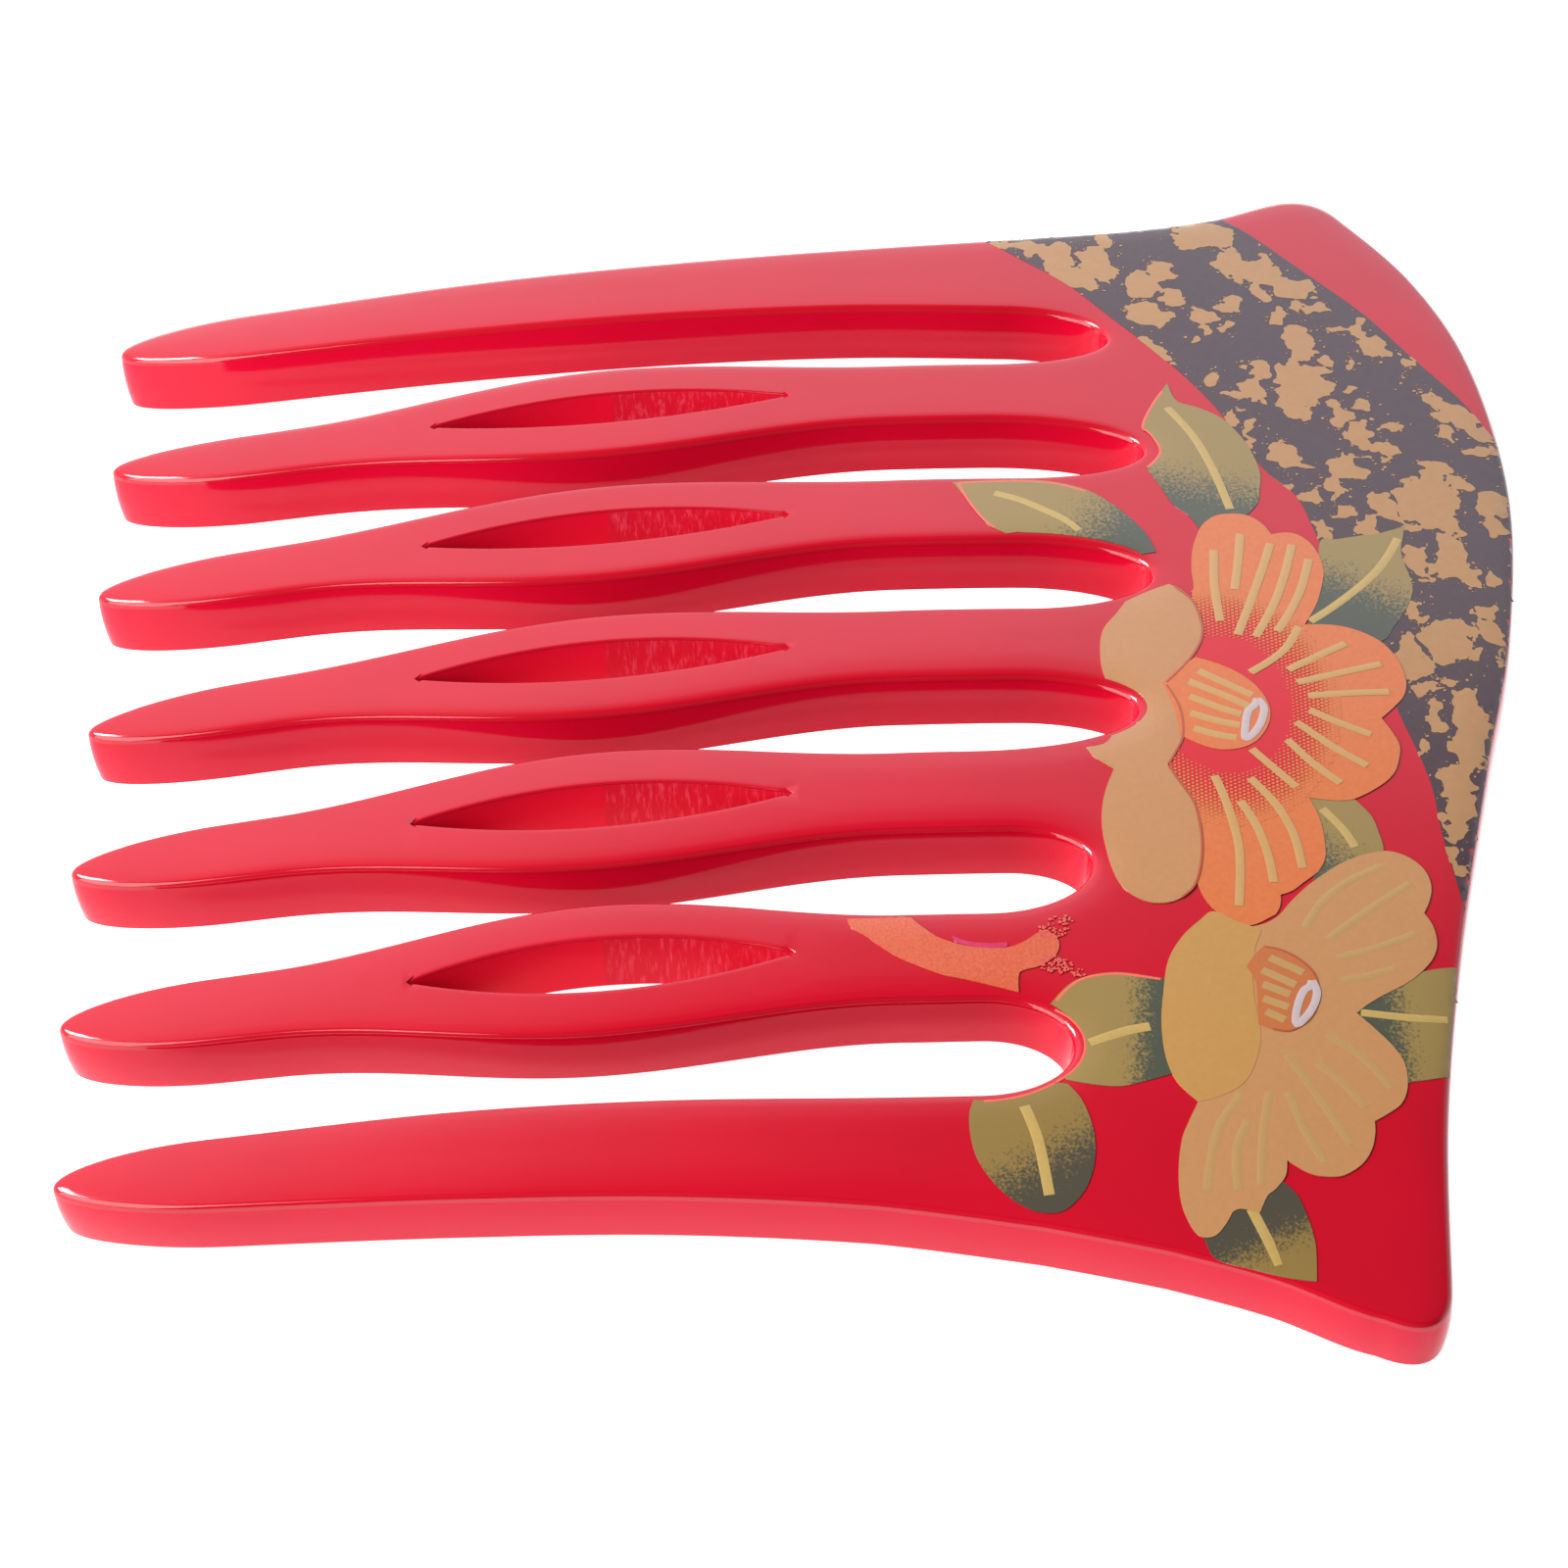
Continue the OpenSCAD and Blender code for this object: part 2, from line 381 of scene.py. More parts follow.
    def tip_share(self, d: float) -> float:
        """Gives how much of its width a tooth has, d mm from its tip."""
        return 1.0 if d >= self.tip_len else math.sqrt(max(0.0, 1 - (1 - d / self.tip_len) ** 2))

    def tip_y(self, i: int) -> float:
        """Gives the height of the tip of tooth i, 0 to 6."""
        inner = [self.inner_tip_y + tooth.tip for tooth in self.teeth]
        return [self.first_tip_y, *inner, self.last_tip_y][i]

    def swell_share(self, y: float) -> float:
        """Gives how much of a belly's swell there is at a height, 1 in its middle."""
        off = abs(y - self.belly_y) / self.belly_reach
        return math.cos(math.pi / 2 * off) ** 2 if off < 1 else 0.0

    def tooth_half(self, i: int, y: float) -> float:
        """Gives half the width of an inner tooth: an even flare and the belly's swell.

        Args:
            i: the tooth, 1 to 5.
            y: the height in the plan.

        Returns:
            Half the width in mm.
        """
        row, tip = self.teeth[i - 1], self.tip_y(i)
        low, high = self.tooth_half_tip + row.half_tip, self.tooth_half_neck + row.half_neck
        grown = low + (high - low) * min(1.0, (y - tip) / (self.flare_end - tip))
        return self.tip_share(y - tip) * (grown + (self.belly_swell + row.swell) * self.swell_share(y))

    def tooth_x(self, i: int, y: float) -> float:
        """Gives the middle of an inner tooth, which wanders a little.

        Args:
            i: the tooth, 1 to 5.
            y: the height in the plan.

        Returns:
            Its place across the teeth.
        """
        row = self.teeth[i - 1]
        bend = max(0.0, self.lean_start - y) / (self.lean_start - self.tip_y(i))
        rise = min(1.0, max(0.0, (y - self.eye_y) / (self.neck_y - self.eye_y)))
        return ((i - (self.inner_teeth + 1) / 2) * self.tooth_pitch + row.tip_bend * bend ** 2
                + row.belly_shift * self.swell_share(y) + row.neck_shift * rise ** 2 * (3 - 2 * rise))

    def edge(self, i: int, y: float, way: int) -> Point:
        """Finds a point on the edge of a tooth.

        Args:
            i: the tooth, 0 to 6.
            y: the height in the plan.
            way: 1 for the edge at the higher U, -1 for the other.

        Returns:
            The point.
        """
        if 0 < i <= self.inner_teeth:
            return (self.tooth_x(i, y) + way * self.tooth_half(i, y), y)
        first = 1 if i == 0 else 3
        a, b = self.side_x(first, y), self.side_x(first + 1, y)
        return ((a + b) / 2 + way * (b - a) / 2 * self.tip_share(y - self.tip_y(i)), y)

    def heights(self, i: int, last: float) -> list[float]:
        """Lists heights along a tooth's edge, close together at the tip.

        Args:
            i: the tooth, 0 to 6.
            last: the last height.

        Returns:
            The heights, from the tip upwards.
        """
        tip = self.tip_y(i)
        turn = math.pi / 2 / self.tip_steps
        low = [tip + self.tip_len * (1 - math.cos(turn * k)) for k in range(self.tip_steps)]
        body = last - tip - self.tip_len
        count = math.ceil(body / self.side_step)
        return low + [tip + self.tip_len + body * k / count for k in range(count + 1)]

    def draw_outline(self) -> np.ndarray:
        """Draws the whole outer edge, against the clock.

        Returns:
            The outline's points.
        """
        last = self.inner_teeth + 1
        points: list[Point] = []
        for i, root in enumerate(self.roots):
            far, near = root.y - root.far_run, root.y - root.near_run
            points += [self.edge(i, y, 1) for y in self.heights(i, far)]
            left, right = self.edge(i, far, 1)[0], self.edge(i + 1, near, -1)[0]
            turns = [math.pi / 2 * k / self.root_steps for k in range(1, self.root_steps + 1)]
            points += [(root.x + (left - root.x) * math.cos(t), far + root.far_run * math.sin(t))
                       for t in turns]
            points += [(root.x + (right - root.x) * math.cos(t), near + root.near_run * math.sin(t))
                       for t in turns[-2::-1]]
            points += [self.edge(i + 1, y, -1) for y in self.heights(i + 1, near)[:0:-1]]
        points += [self.edge(last, y, 1) for y in self.heights(last, self.last_side_end)]
        first_side = [self.edge(0, y, -1) for y in self.heights(0, self.first_side_end)[:0:-1]]
        points += self.corner(points[-1], self.last_corner, self.crown[0])[1:]
        points += [tuple(p) for p in through(np.array(self.crown), self.side_step)[1:-1]]
        points += self.corner(self.crown[-1], self.first_corner, first_side[0])[:-1]
        return np.array(points + first_side)

    def corner(self, a: Point, b: Point, c: Point) -> list[Point]:
        """Draws a corner that leaves a, bends towards b and ends at c."""
        shares = [k / self.corner_steps for k in range(self.corner_steps + 1)]
        return [tuple(a[n] * (1 - f) ** 2 + b[n] * 2 * f * (1 - f) + c[n] * f * f for n in (0, 1))
                for f in shares]

    def draw_eye(self, i: int) -> np.ndarray:
        """Draws the pointed eye of an inner tooth: two shallow arcs that meet.

        Args:
            i: the tooth, 1 to 5.

        Returns:
            The eye's points, against the clock.
        """
        s = 2 * np.arange(self.eye_steps) / self.eye_steps - 1
        width = self.eye_w + self.teeth[i - 1].eye
        half, long = width / 2 * (1 - s * s), self.eye_len / 2 * s
        x = self.tooth_x(i, self.eye_y) + self.teeth[i - 1].eye_shift
        return np.concatenate([np.column_stack([x + half, self.eye_y + long]),
                               np.column_stack([x - half, self.eye_y - long])])

    def holds(self, points: np.ndarray) -> np.ndarray:
        """Tells which plan points lie on the sheet."""
        gone = np.any([inside(points, eye) for eye in self.eyes], axis=0)
        return inside(points, self.outline) & ~gone

    def away(self, points: np.ndarray, loops: list[np.ndarray]) -> np.ndarray:
        """Measures how far points lie from closed loops, up to the plan's reach.

        Args:
            points: plan points in mm.
            loops: the loops to measure to.

        Returns:
            The distances in mm.
        """
        ends = np.concatenate([np.hstack([loop, np.roll(loop, -1, axis=0)]) for loop in loops])
        left, right = ends[:, [0, 2]].min(1), ends[:, [0, 2]].max(1)
        lower, upper = ends[:, [1, 3]].min(1), ends[:, [1, 3]].max(1)
        result = np.full(len(points), self.reach)
        order = np.lexsort((points[:, 1], np.floor(points[:, 0] / self.strip)))
        for part in np.array_split(order, max(1, len(order) // self.batch)):
            spots = points[part]
            low, high = spots.min(0) - self.reach, spots.max(0) + self.reach
            keep = (right > low[0]) & (left < high[0]) & (upper > low[1]) & (lower < high[1])
            if not keep.any():
                continue
            a, way = ends[keep, :2], ends[keep, 2:] - ends[keep, :2]
            rel = spots[:, None] - a
            f = np.clip((rel * way).sum(2) / np.maximum((way * way).sum(1), TINY), 0, 1)
            far = np.linalg.norm(rel - f[..., None] * way, axis=2).min(1)
            result[part] = np.minimum(far, self.reach)
        return result

    def gaps(self, points: np.ndarray) -> tuple[np.ndarray, np.ndarray]:
        """Measures how far points lie from the outline and from the eyes."""
        return self.away(points, [self.outline]), self.away(points, self.eyes)

    def gap(self, points: np.ndarray) -> np.ndarray:
        """Measures how far points lie from the nearest edge of either kind."""
        return np.minimum(*self.gaps(points))

    def ring(self, loop: np.ndarray, depth: float) -> np.ndarray:
        """Moves a closed edge into the sheet.

        Args:
            loop: the outline or an eye.
            depth: how far its points move, in mm.

        Returns:
            The points that stay that far from every edge.
        """
        way = np.roll(loop, -1, axis=0) - np.roll(loop, 1, axis=0)
        way /= np.linalg.norm(way, axis=1)[:, None]
        turn = 1 if loop is self.outline else -1
        spots = loop + np.column_stack([-way[:, 1], way[:, 0]]) * turn * depth
        return spots[self.holds(spots) & (self.gap(spots) > depth - self.slack)]


SHEET = Sheet()
PLAN = Plan()


# Meshes

def put(name: str, mesh: bpy.types.Mesh, crease: float) -> bpy.types.Object:
    """Shades a mesh smoothly but for its creases and puts it into the scene.

    Args:
        name: the new object's name.
        mesh: its mesh.
        crease: edges that turn by more degrees than this stay crisp.

    Returns:
        The new object.
    """
    mesh.shade_smooth()
    mesh.set_sharp_from_angle(angle=math.radians(crease))
    piece = bpy.data.objects.new(name, mesh)
    bpy.context.scene.collection.objects.link(piece)
    return piece


@dataclass
class Net:
    """A flat triangle net over the plan, ready to be given a thickness."""

    points: np.ndarray
    faces: np.ndarray

    @classmethod
    def joined(cls, spots: np.ndarray, edges: list[tuple[int, int]], near: float,
               least: float) -> "Net":
        """Lays triangles over points.

        Args:
            spots: the points, one a row.
            edges: pairs of points between which the net keeps an edge.
            near: how close in mm two points may lie before they become one.
            least: triangles with less than half this area in mm2 are left out.

        Returns:
            The net, with every triangle against the clock.
        """
        out = delaunay_2d_cdt([Vector(p) for p in spots], edges, [], 0, near)
        points = np.array([tuple(p) for p in out[0]])
        faces = np.array([f for f in out[2] if len(f) == 3])
        a, b, c = (points[faces[:, k]] for k in range(3))
        area = (b[:, 0] - a[:, 0]) * (c[:, 1] - a[:, 1]) - (b[:, 1] - a[:, 1]) * (c[:, 0] - a[:, 0])
        faces[area < 0] = faces[area < 0][:, ::-1]
        return cls(points, faces[np.abs(area) > least])

    @classmethod
    def over(cls, rims: list[np.ndarray], extra: np.ndarray) -> "Net":
        """Lays triangles over closed rims, whose edges the net keeps, and loose points.

        Args:
            rims: closed rows of points.
            extra: the loose points.

        Returns:
            The net.
        """
        edges: list[tuple[int, int]] = []
        start = 0
        for rim in rims:
            edges += edge_pairs(start, len(rim))
            start += len(rim)
        return cls.joined(np.concatenate([*rims, extra]), edges, 1e-5, 1e-9)

    def middles(self) -> np.ndarray:
        """Gives the middle of each triangle."""
        return self.points[self.faces].mean(1)

    def kept(self, keep: np.ndarray) -> "Net":
        """Gives the net of some of the triangles, with no loose points."""
        used, numbers = np.unique(self.faces[keep], return_inverse=True)
        return Net(self.points[used], numbers.reshape(-1, 3))

    def rim(self) -> np.ndarray:
        """Lists the edges that have a triangle on one side only.

        Returns:
            Pairs of point numbers, in the order of that triangle.
        """
        edges = np.concatenate([self.faces[:, [0, 1]], self.faces[:, [1, 2]], self.faces[:, [2, 0]]])
        keys = {tuple(e) for e in edges.tolist()}
        return np.array([e for e in edges.tolist() if (e[1], e[0]) not in keys])

    def outward(self) -> np.ndarray:
        """Finds the way out of the net.

        Returns:
            A step 1 long for each point of the rim, and nothing elsewhere.
        """
        ends = self.rim()
        way = self.points[ends[:, 1]] - self.points[ends[:, 0]]
        turned = np.column_stack([way[:, 1], -way[:, 0]])
        found = np.zeros_like(self.points)
        for k in (0, 1):
            np.add.at(found, ends[:, k], turned)
        return found / np.maximum(np.linalg.norm(found, axis=1), 1e-9)[:, None]

    def shell(self, name: str, levels: list[np.ndarray], finish: bpy.types.Material,
              marks: dict[str, np.ndarray] | None = None,
              moves: list[np.ndarray] | None = None) -> bpy.types.Object:
        """Gives the net a thickness and presses it to the dome as a closed shell.

        Args:
            name: the piece's name.
            levels: the points' heights in mm for each level, the uppermost first.
            finish: the piece's material.
            marks: values for each point, by attribute name, the same on all levels.
            moves: how far each level's points are shifted in the plan, in mm.

        Returns:
            The new object, smooth and in the scene.
        """
        count = len(self.points)
        moves = moves or [np.zeros_like(self.points)] * len(levels)
        places = np.concatenate([SHEET.place(self.points + move, level)
                                 for level, move in zip(levels, moves)])
        last = (len(levels) - 1) * count
        faces = self.faces.tolist() + (self.faces[:, ::-1] + last).tolist()
        rim = self.rim()
        for k in range(len(levels) - 1):
            upper, lower = k * count, (k + 1) * count
            faces += [[b + upper, a + upper, a + lower, b + lower] for a, b in rim.tolist()]
        used = np.unique(np.array([i for f in faces for i in f]))
        numbers = np.zeros(len(places), int)
        numbers[used] = np.arange(len(used))
        mesh = bpy.data.meshes.new(name)
        mesh.from_pydata(places[used].tolist(), [], [[int(numbers[i]) for i in f] for f in faces])
        for key, values in (marks or {}).items():
            layer = mesh.attributes.new(key, "FLOAT", "POINT")
            layer.data.foreach_set("value", np.tile(values, len(levels))[used].astype(np.float32))
        mesh.materials.append(finish)
        return put(name, mesh, 38)

    def film(self, name: str, layer: "Layer", finish: bpy.types.Material,
             marks: dict[str, np.ndarray] | None = None) -> bpy.types.Object:
        """Lays the net on the sheet's upper face as a thin film that rides on the comb.

        Args:
            name: the piece's name.
            layer: which of the inks it is.
            finish: the ink.
            marks: values for each point, by attribute name.

        Returns:
            The piece.
        """
        face = SHEET.top(*PLAN.gaps(self.points))
        levels = [face + layer.height(), face - FILM_SUNK]
        return seat(self.shell(name, levels, finish, marks), "print")


def grid(low: np.ndarray, high: np.ndarray, step: float) -> np.ndarray:
    """Lays out points in offset rows between two corners.

    Args:
        low: the lower corner.
        high: the upper corner.
        step: the distance between two points of a row.

    Returns:
        The points, one a row.
    """
    rise = step * math.sqrt(3) / 2
    rows = np.arange(low[1], high[1], rise)
    lines = []
    for k, y in enumerate(rows):
        x = np.arange(low[0] + step / 2 * (k % 2), high[0], step)
        lines.append(np.column_stack([x, np.full(len(x), y)]))
    return np.concatenate(lines)


@dataclass(frozen=True)
class Shape:
    """A printed shape: smooth runs of plan points in mm, each as far as the next one's first point.

    There is a corner where two runs meet. A round shape is one run without a corner.
    """

    runs: tuple[Run, ...]
    round: bool = False

    def loop(self, step: float = 0.2) -> np.ndarray:
        """Draws the closed edge of the shape.

        Args:
            step: the distance between two of its points in mm.

        Returns:
            The edge's points.
        """
        if self.round:
            return through(np.array(self.runs[0], float), step, closed=True)
        following = (*self.runs[1:], self.runs[0])
        return np.concatenate([through(np.array((*run, after[0]), float), step)[:-1]
                               for run, after in zip(self.runs, following)])


class Layer(Enum):
    """The order in which the inks were printed, lowest first."""

    BAND = 1
    GOLD = 2
    LEAF = 3
    BLOOM = 4
    PETAL = 5
    LOBE = 6
    CUP = 7
    STROKE = 8

    def height(self) -> float:
        """Gives how far this ink stands above the sheet in mm."""
        return INK_STEP * self.value

    def rise(self, spots: np.ndarray) -> np.ndarray:
        """Gives how high this ink lies at plan points, in mm from the middle of the sheet."""
        return SHEET.top(*PLAN.gaps(spots)) + self.height()


@dataclass
class Film:
    """One ink film: a thin closed shell that lies on the sheet's upper face."""

    name: str
    layer: Layer
    shapes: list[Shape]
    # How far the ink stays from the comb's edges
    margin: float = 0.45
    cut: list[Shape] = field(default_factory=list)
    step: float = 0.7
    # How far the net's points reach past the shapes, before what lies outside is cut away
    border: float = 0.5

    def net(self) -> Net:
        """Lays the film's net over its shapes, clear of the comb's edges.

        Returns:
            The net of what is printed.
        """
        loops = [shape.loop() for shape in self.shapes]
        holes = [shape.loop() for shape in self.cut]
        spots = np.concatenate(loops)
        low, high = spots.min(0) - self.border, spots.max(0) + self.border
        depths = [self.margin, *(d for d in CombBody.ring_depths if d > self.margin + 0.05)]
        rim = np.concatenate([PLAN.ring(PLAN.outline, depth) for depth in depths])
        rim = rim[np.all((rim > low) & (rim < high), axis=1)]
        whole = Net.over([*loops, *holes], np.concatenate([rim, grid(low, high, self.step)]))
        middles = whole.middles()
        keep = np.zeros(len(middles), bool)
        for loop in loops:
            keep |= inside(middles, loop)
        for loop in holes:
            keep &= ~inside(middles, loop)
        keep &= PLAN.holds(middles) & (PLAN.gap(middles) > self.margin - 0.01)
        return whole.kept(keep)

    def build(self, finish: bpy.types.Material, marks: dict | None = None) -> bpy.types.Object:
        """Makes the film's piece and seats it on the comb.

        Args:
            finish: the ink.
            marks: functions of the plan points, by attribute name.

        Returns:
            The piece.
        """
        net = self.net()
        values = {key: rule(net.points) for key, rule in (marks or {}).items()}
        return net.film(self.name, self.layer, finish, values)


def seat(piece: bpy.types.Object, slot: str) -> bpy.types.Object:
    """Lets a piece ride on the comb and logs its face count and the material slot of its finish.

    Args:
        piece: the finished piece.
        slot: the name of the material slot, for the log.

    Returns:
        The same piece.
    """
    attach(piece, "root")
    LOG.info("%s: %d faces, slot %s", piece.name, len(piece.data.polygons), slot)
    return piece


# Finishes

def blank(name: str, values: dict) -> tuple[bpy.types.Material, bpy.types.NodeTree, bpy.types.Node]:
    """Makes a material that holds only its shader.

    Args:
        name: the material's name.
        values: what the shader's own sockets hold, by their names.

    Returns:
        The material, its node tree and its shader node.
    """
    made = bpy.data.materials.new(name)
    made.use_nodes = True
    shader = made.node_tree.nodes["Principled BSDF"]
    for key, value in values.items():
        shader.inputs[key].default_value = value
    return made, made.node_tree, shader


@dataclass(frozen=True)
class CastAcrylic:
    """Cast acrylic sheet, laser cut and flame polished: deep even colour under a wet gloss."""

    name: str = "cast acrylic, polished"
    colour: str = "b90922"
    deep: str = "aa071b"
    roughness: float = 0.07
    # Clouds in the red keep it from looking like paint, and the polish leaves low waves
    cloud_mm: float = 9.09
    wave_mm: float = 2.5
    # Share of the usual gloss: a buffed saw cut throws back less than the cast face
    gloss: float = 0.5

    def material(self) -> bpy.types.Material:
        """Makes the acrylic's material.

        Returns:
            The material.
        """
        made, tree, shader = blank(self.name, {"Roughness": self.roughness, "IOR": ACRYLIC_IOR,
                                               "Specular IOR Level": self.gloss})
        place = add(tree, "ShaderNodeTexCoord").outputs["Object"]
        cloud = add(tree, "ShaderNodeTexNoise", {"Scale": 1 / (self.cloud_mm * MM), "Detail": 2.0},
                    {"Vector": place})
        tone = add(tree, "ShaderNodeMix", {"data_type": "RGBA", MIX_FIRST: linear(self.colour),
                                           MIX_SECOND: linear(self.deep)}, {0: cloud.outputs["Fac"]})
        tree.links.new(tone.outputs[MIX_COLOUR], shader.inputs["Base Color"])
        # The waves are a few thousandths of a millimetre high
        wave = add(tree, "ShaderNodeTexNoise", {"Scale": 1 / (self.wave_mm * MM), "Detail": 1.0},
                   {"Vector": place})
        bump = add(tree, "ShaderNodeBump", {"Strength": 0.12, "Distance": 0.00002},
                   {"Height": wave.outputs["Fac"]})
        tree.links.new(bump.outputs["Normal"], shader.inputs["Normal"])
        return made


@dataclass(frozen=True)
class SawnAcrylic:
    """Acrylic as the fret saw left it, half of each eye buffed: fine upright saw lines on a red
    painted lighter than the faces' red, painted light for the glow inside the eyes.
    """

    name: str = "cast acrylic, fret sawn, painted lighter"
    # The buffed and sawn reds are painted lighter than the faces' red: painted light for the glow that
    # the sheet carries into its eyes
    buffed: str = "da1032"
    sawn: str = "cc1630"
    line: str = "dc4a60"
    line_mm: float = 0.22
    # How much longer than wide the saw's lines are
    stretch: float = 6.0
    # Where the buffed half ends, in Y of the CAD frame
    seam_mm: float = -9.6
    roughness: float = 0.35
    gloss: float = 0.12

    def material(self) -> bpy.types.Material:
        """Makes the sawn acrylic's material.

        Returns:
            The material.
        """
        made, tree, shader = blank(self.name, {"Roughness": self.roughness,
                                               "Specular IOR Level": self.gloss})
        place = add(tree, "ShaderNodeTexCoord").outputs["Object"]
        drawn = add(tree, "ShaderNodeVectorMath", {"operation": "MULTIPLY",
                                                   1: (1.0, 1.0, 1 / self.stretch)}, {0: place})
        lines = add(tree, "ShaderNodeTexNoise", {"Scale": 1 / (self.line_mm * MM), "Detail": 3.0,
                                                 "Roughness": 0.7}, {"Vector": drawn.outputs[0]})
        amount = add(tree, "ShaderNodeMapRange", {"From Min": 0.5, "From Max": 0.72},
                     {"Value": lines.outputs["Fac"]})
        rough = add(tree, "ShaderNodeMix", {"data_type": "RGBA", MIX_FIRST: linear(self.sawn),
                                            MIX_SECOND: linear(self.line)}, {0: amount.outputs[0]})
        along = add(tree, "ShaderNodeSeparateXYZ", links={0: place}).outputs["Y"]
        half = add(tree, "ShaderNodeMapRange", {"From Min": (self.seam_mm - 0.1) * MM,
                                                "From Max": (self.seam_mm + 0.1) * MM},
                   {"Value": along})
        tone = add(tree, "ShaderNodeMix", {"data_type": "RGBA", MIX_FIRST: linear(self.buffed)},
                   {0: half.outputs[0], MIX_SECOND: rough.outputs[MIX_COLOUR]})
        tree.links.new(tone.outputs[MIX_COLOUR], shader.inputs["Base Color"])
        bump = add(tree, "ShaderNodeBump", {"Strength": 0.3, "Distance": 0.00003},
                   {"Height": lines.outputs["Fac"]})
        tree.links.new(bump.outputs["Normal"], shader.inputs["Normal"])
        return made


@dataclass(frozen=True)
class ScreenInk:
    """Screen-printed ink under a clear coat: flat colour with the speckle of its mesh, and gloss."""

    name: str
    colour: str
    second: str
    speckle_mm: float = 0.35
    # How much of the second colour the speckle has, and how sharply it changes
    share: float = 0.5
    contrast: float = 0.2
    roughness: float = 0.09

    def material(self) -> bpy.types.Material:
        """Makes the ink's material.

        Returns:
            The material.
        """
        made, tree, shader = blank(self.name, {"Roughness": self.roughness, "IOR": ACRYLIC_IOR})
        place = add(tree, "ShaderNodeTexCoord").outputs["Object"]
        speckle = add(tree, "ShaderNodeTexNoise", {"Scale": 1 / (self.speckle_mm * MM),
                                                   "Detail": 3.0, "Roughness": 0.7}, {"Vector": place})
        amount = add(tree, "ShaderNodeMapRange", {"From Min": 0.5 - self.contrast,
                                                  "From Max": 0.5 + self.contrast,
                                                  "To Max": self.share},
                     {"Value": speckle.outputs["Fac"]})
        tone = add(tree, "ShaderNodeMix", {"data_type": "RGBA", MIX_FIRST: linear(self.colour),
                                           MIX_SECOND: linear(self.second)}, {0: amount.outputs[0]})
        tree.links.new(tone.outputs[MIX_COLOUR], shader.inputs["Base Color"])
        return made


@dataclass(frozen=True)
class SprayedInk:
    """Two inks sprayed into each other: a grainy change from a light to a dark colour."""

    name: str
    light: str
    dark: str
    grain_mm: float = 0.16
    # How far the grain pushes the change to and fro, and how wide the change is
    push: float = 1.1
    blur: float = 0.15
    mark: str = "shade"
    roughness: float = 0.09

    def material(self) -> bpy.types.Material:
        """Makes the material, whose change follows the piece's own attribute.

        Returns:
            The material.
        """
        made, tree, shader = blank(self.name, {"Roughness": self.roughness, "IOR": ACRYLIC_IOR})
        place = add(tree, "ShaderNodeTexCoord").outputs["Object"]
        shade = add(tree, "ShaderNodeAttribute", {"attribute_name": self.mark}).outputs["Fac"]
        grain = add(tree, "ShaderNodeTexNoise", {"Scale": 1 / (self.grain_mm * MM), "Detail": 2.0,
                                                 "Roughness": 0.6}, {"Vector": place})
        push = add(tree, "ShaderNodeMath", {"operation": "MULTIPLY_ADD", 1: self.push,
                                            2: -self.push / 2}, {0: grain.outputs["Fac"]})
        both = add(tree, "ShaderNodeMath", {"operation": "ADD"}, {0: shade, 1: push.outputs[0]})
        amount = add(tree, "ShaderNodeMapRange", {"From Min": 0.5 - self.blur,
                                                  "From Max": 0.5 + self.blur},
                     {"Value": both.outputs[0]})
        tone = add(tree, "ShaderNodeMix", {"data_type": "RGBA", MIX_FIRST: linear(self.light),
                                           MIX_SECOND: linear(self.dark)}, {0: amount.outputs[0]})
        tree.links.new(tone.outputs[MIX_COLOUR], shader.inputs["Base Color"])
        return made


@dataclass(frozen=True)
class TornGold:
    """Imitation gold leaf under a clear coat: warm metal, crumpled at the scale of its tears."""

    name: str = "imitation gold leaf, torn"
    colour: str = "ad8254"
    second: str = "a1764a"
    roughness: float = 0.3
    metallic: float = 0.12
    crumple_mm: float = 0.5

    def material(self) -> bpy.types.Material:
        """Makes the leaf's material.

        Returns:
            The material.
        """
        made, tree, shader = blank(self.name, {"Roughness": self.roughness,
                                               "Metallic": self.metallic})
        place = add(tree, "ShaderNodeTexCoord").outputs["Object"]
        crumple = add(tree, "ShaderNodeTexNoise", {"Scale": 1 / (self.crumple_mm * MM),
                                                   "Detail": 4.0}, {"Vector": place})
        tone = add(tree, "ShaderNodeMix", {"data_type": "RGBA", MIX_FIRST: linear(self.colour),
                                           MIX_SECOND: linear(self.second)},
                   {0: crumple.outputs["Fac"]})
        tree.links.new(tone.outputs[MIX_COLOUR], shader.inputs["Base Color"])
        bump = add(tree, "ShaderNodeBump", {"Strength": 0.25, "Distance": 0.00003},
                   {"Height": crumple.outputs["Fac"]})
        tree.links.new(bump.outputs["Normal"], shader.inputs["Normal"])
        return made


# The comb's body

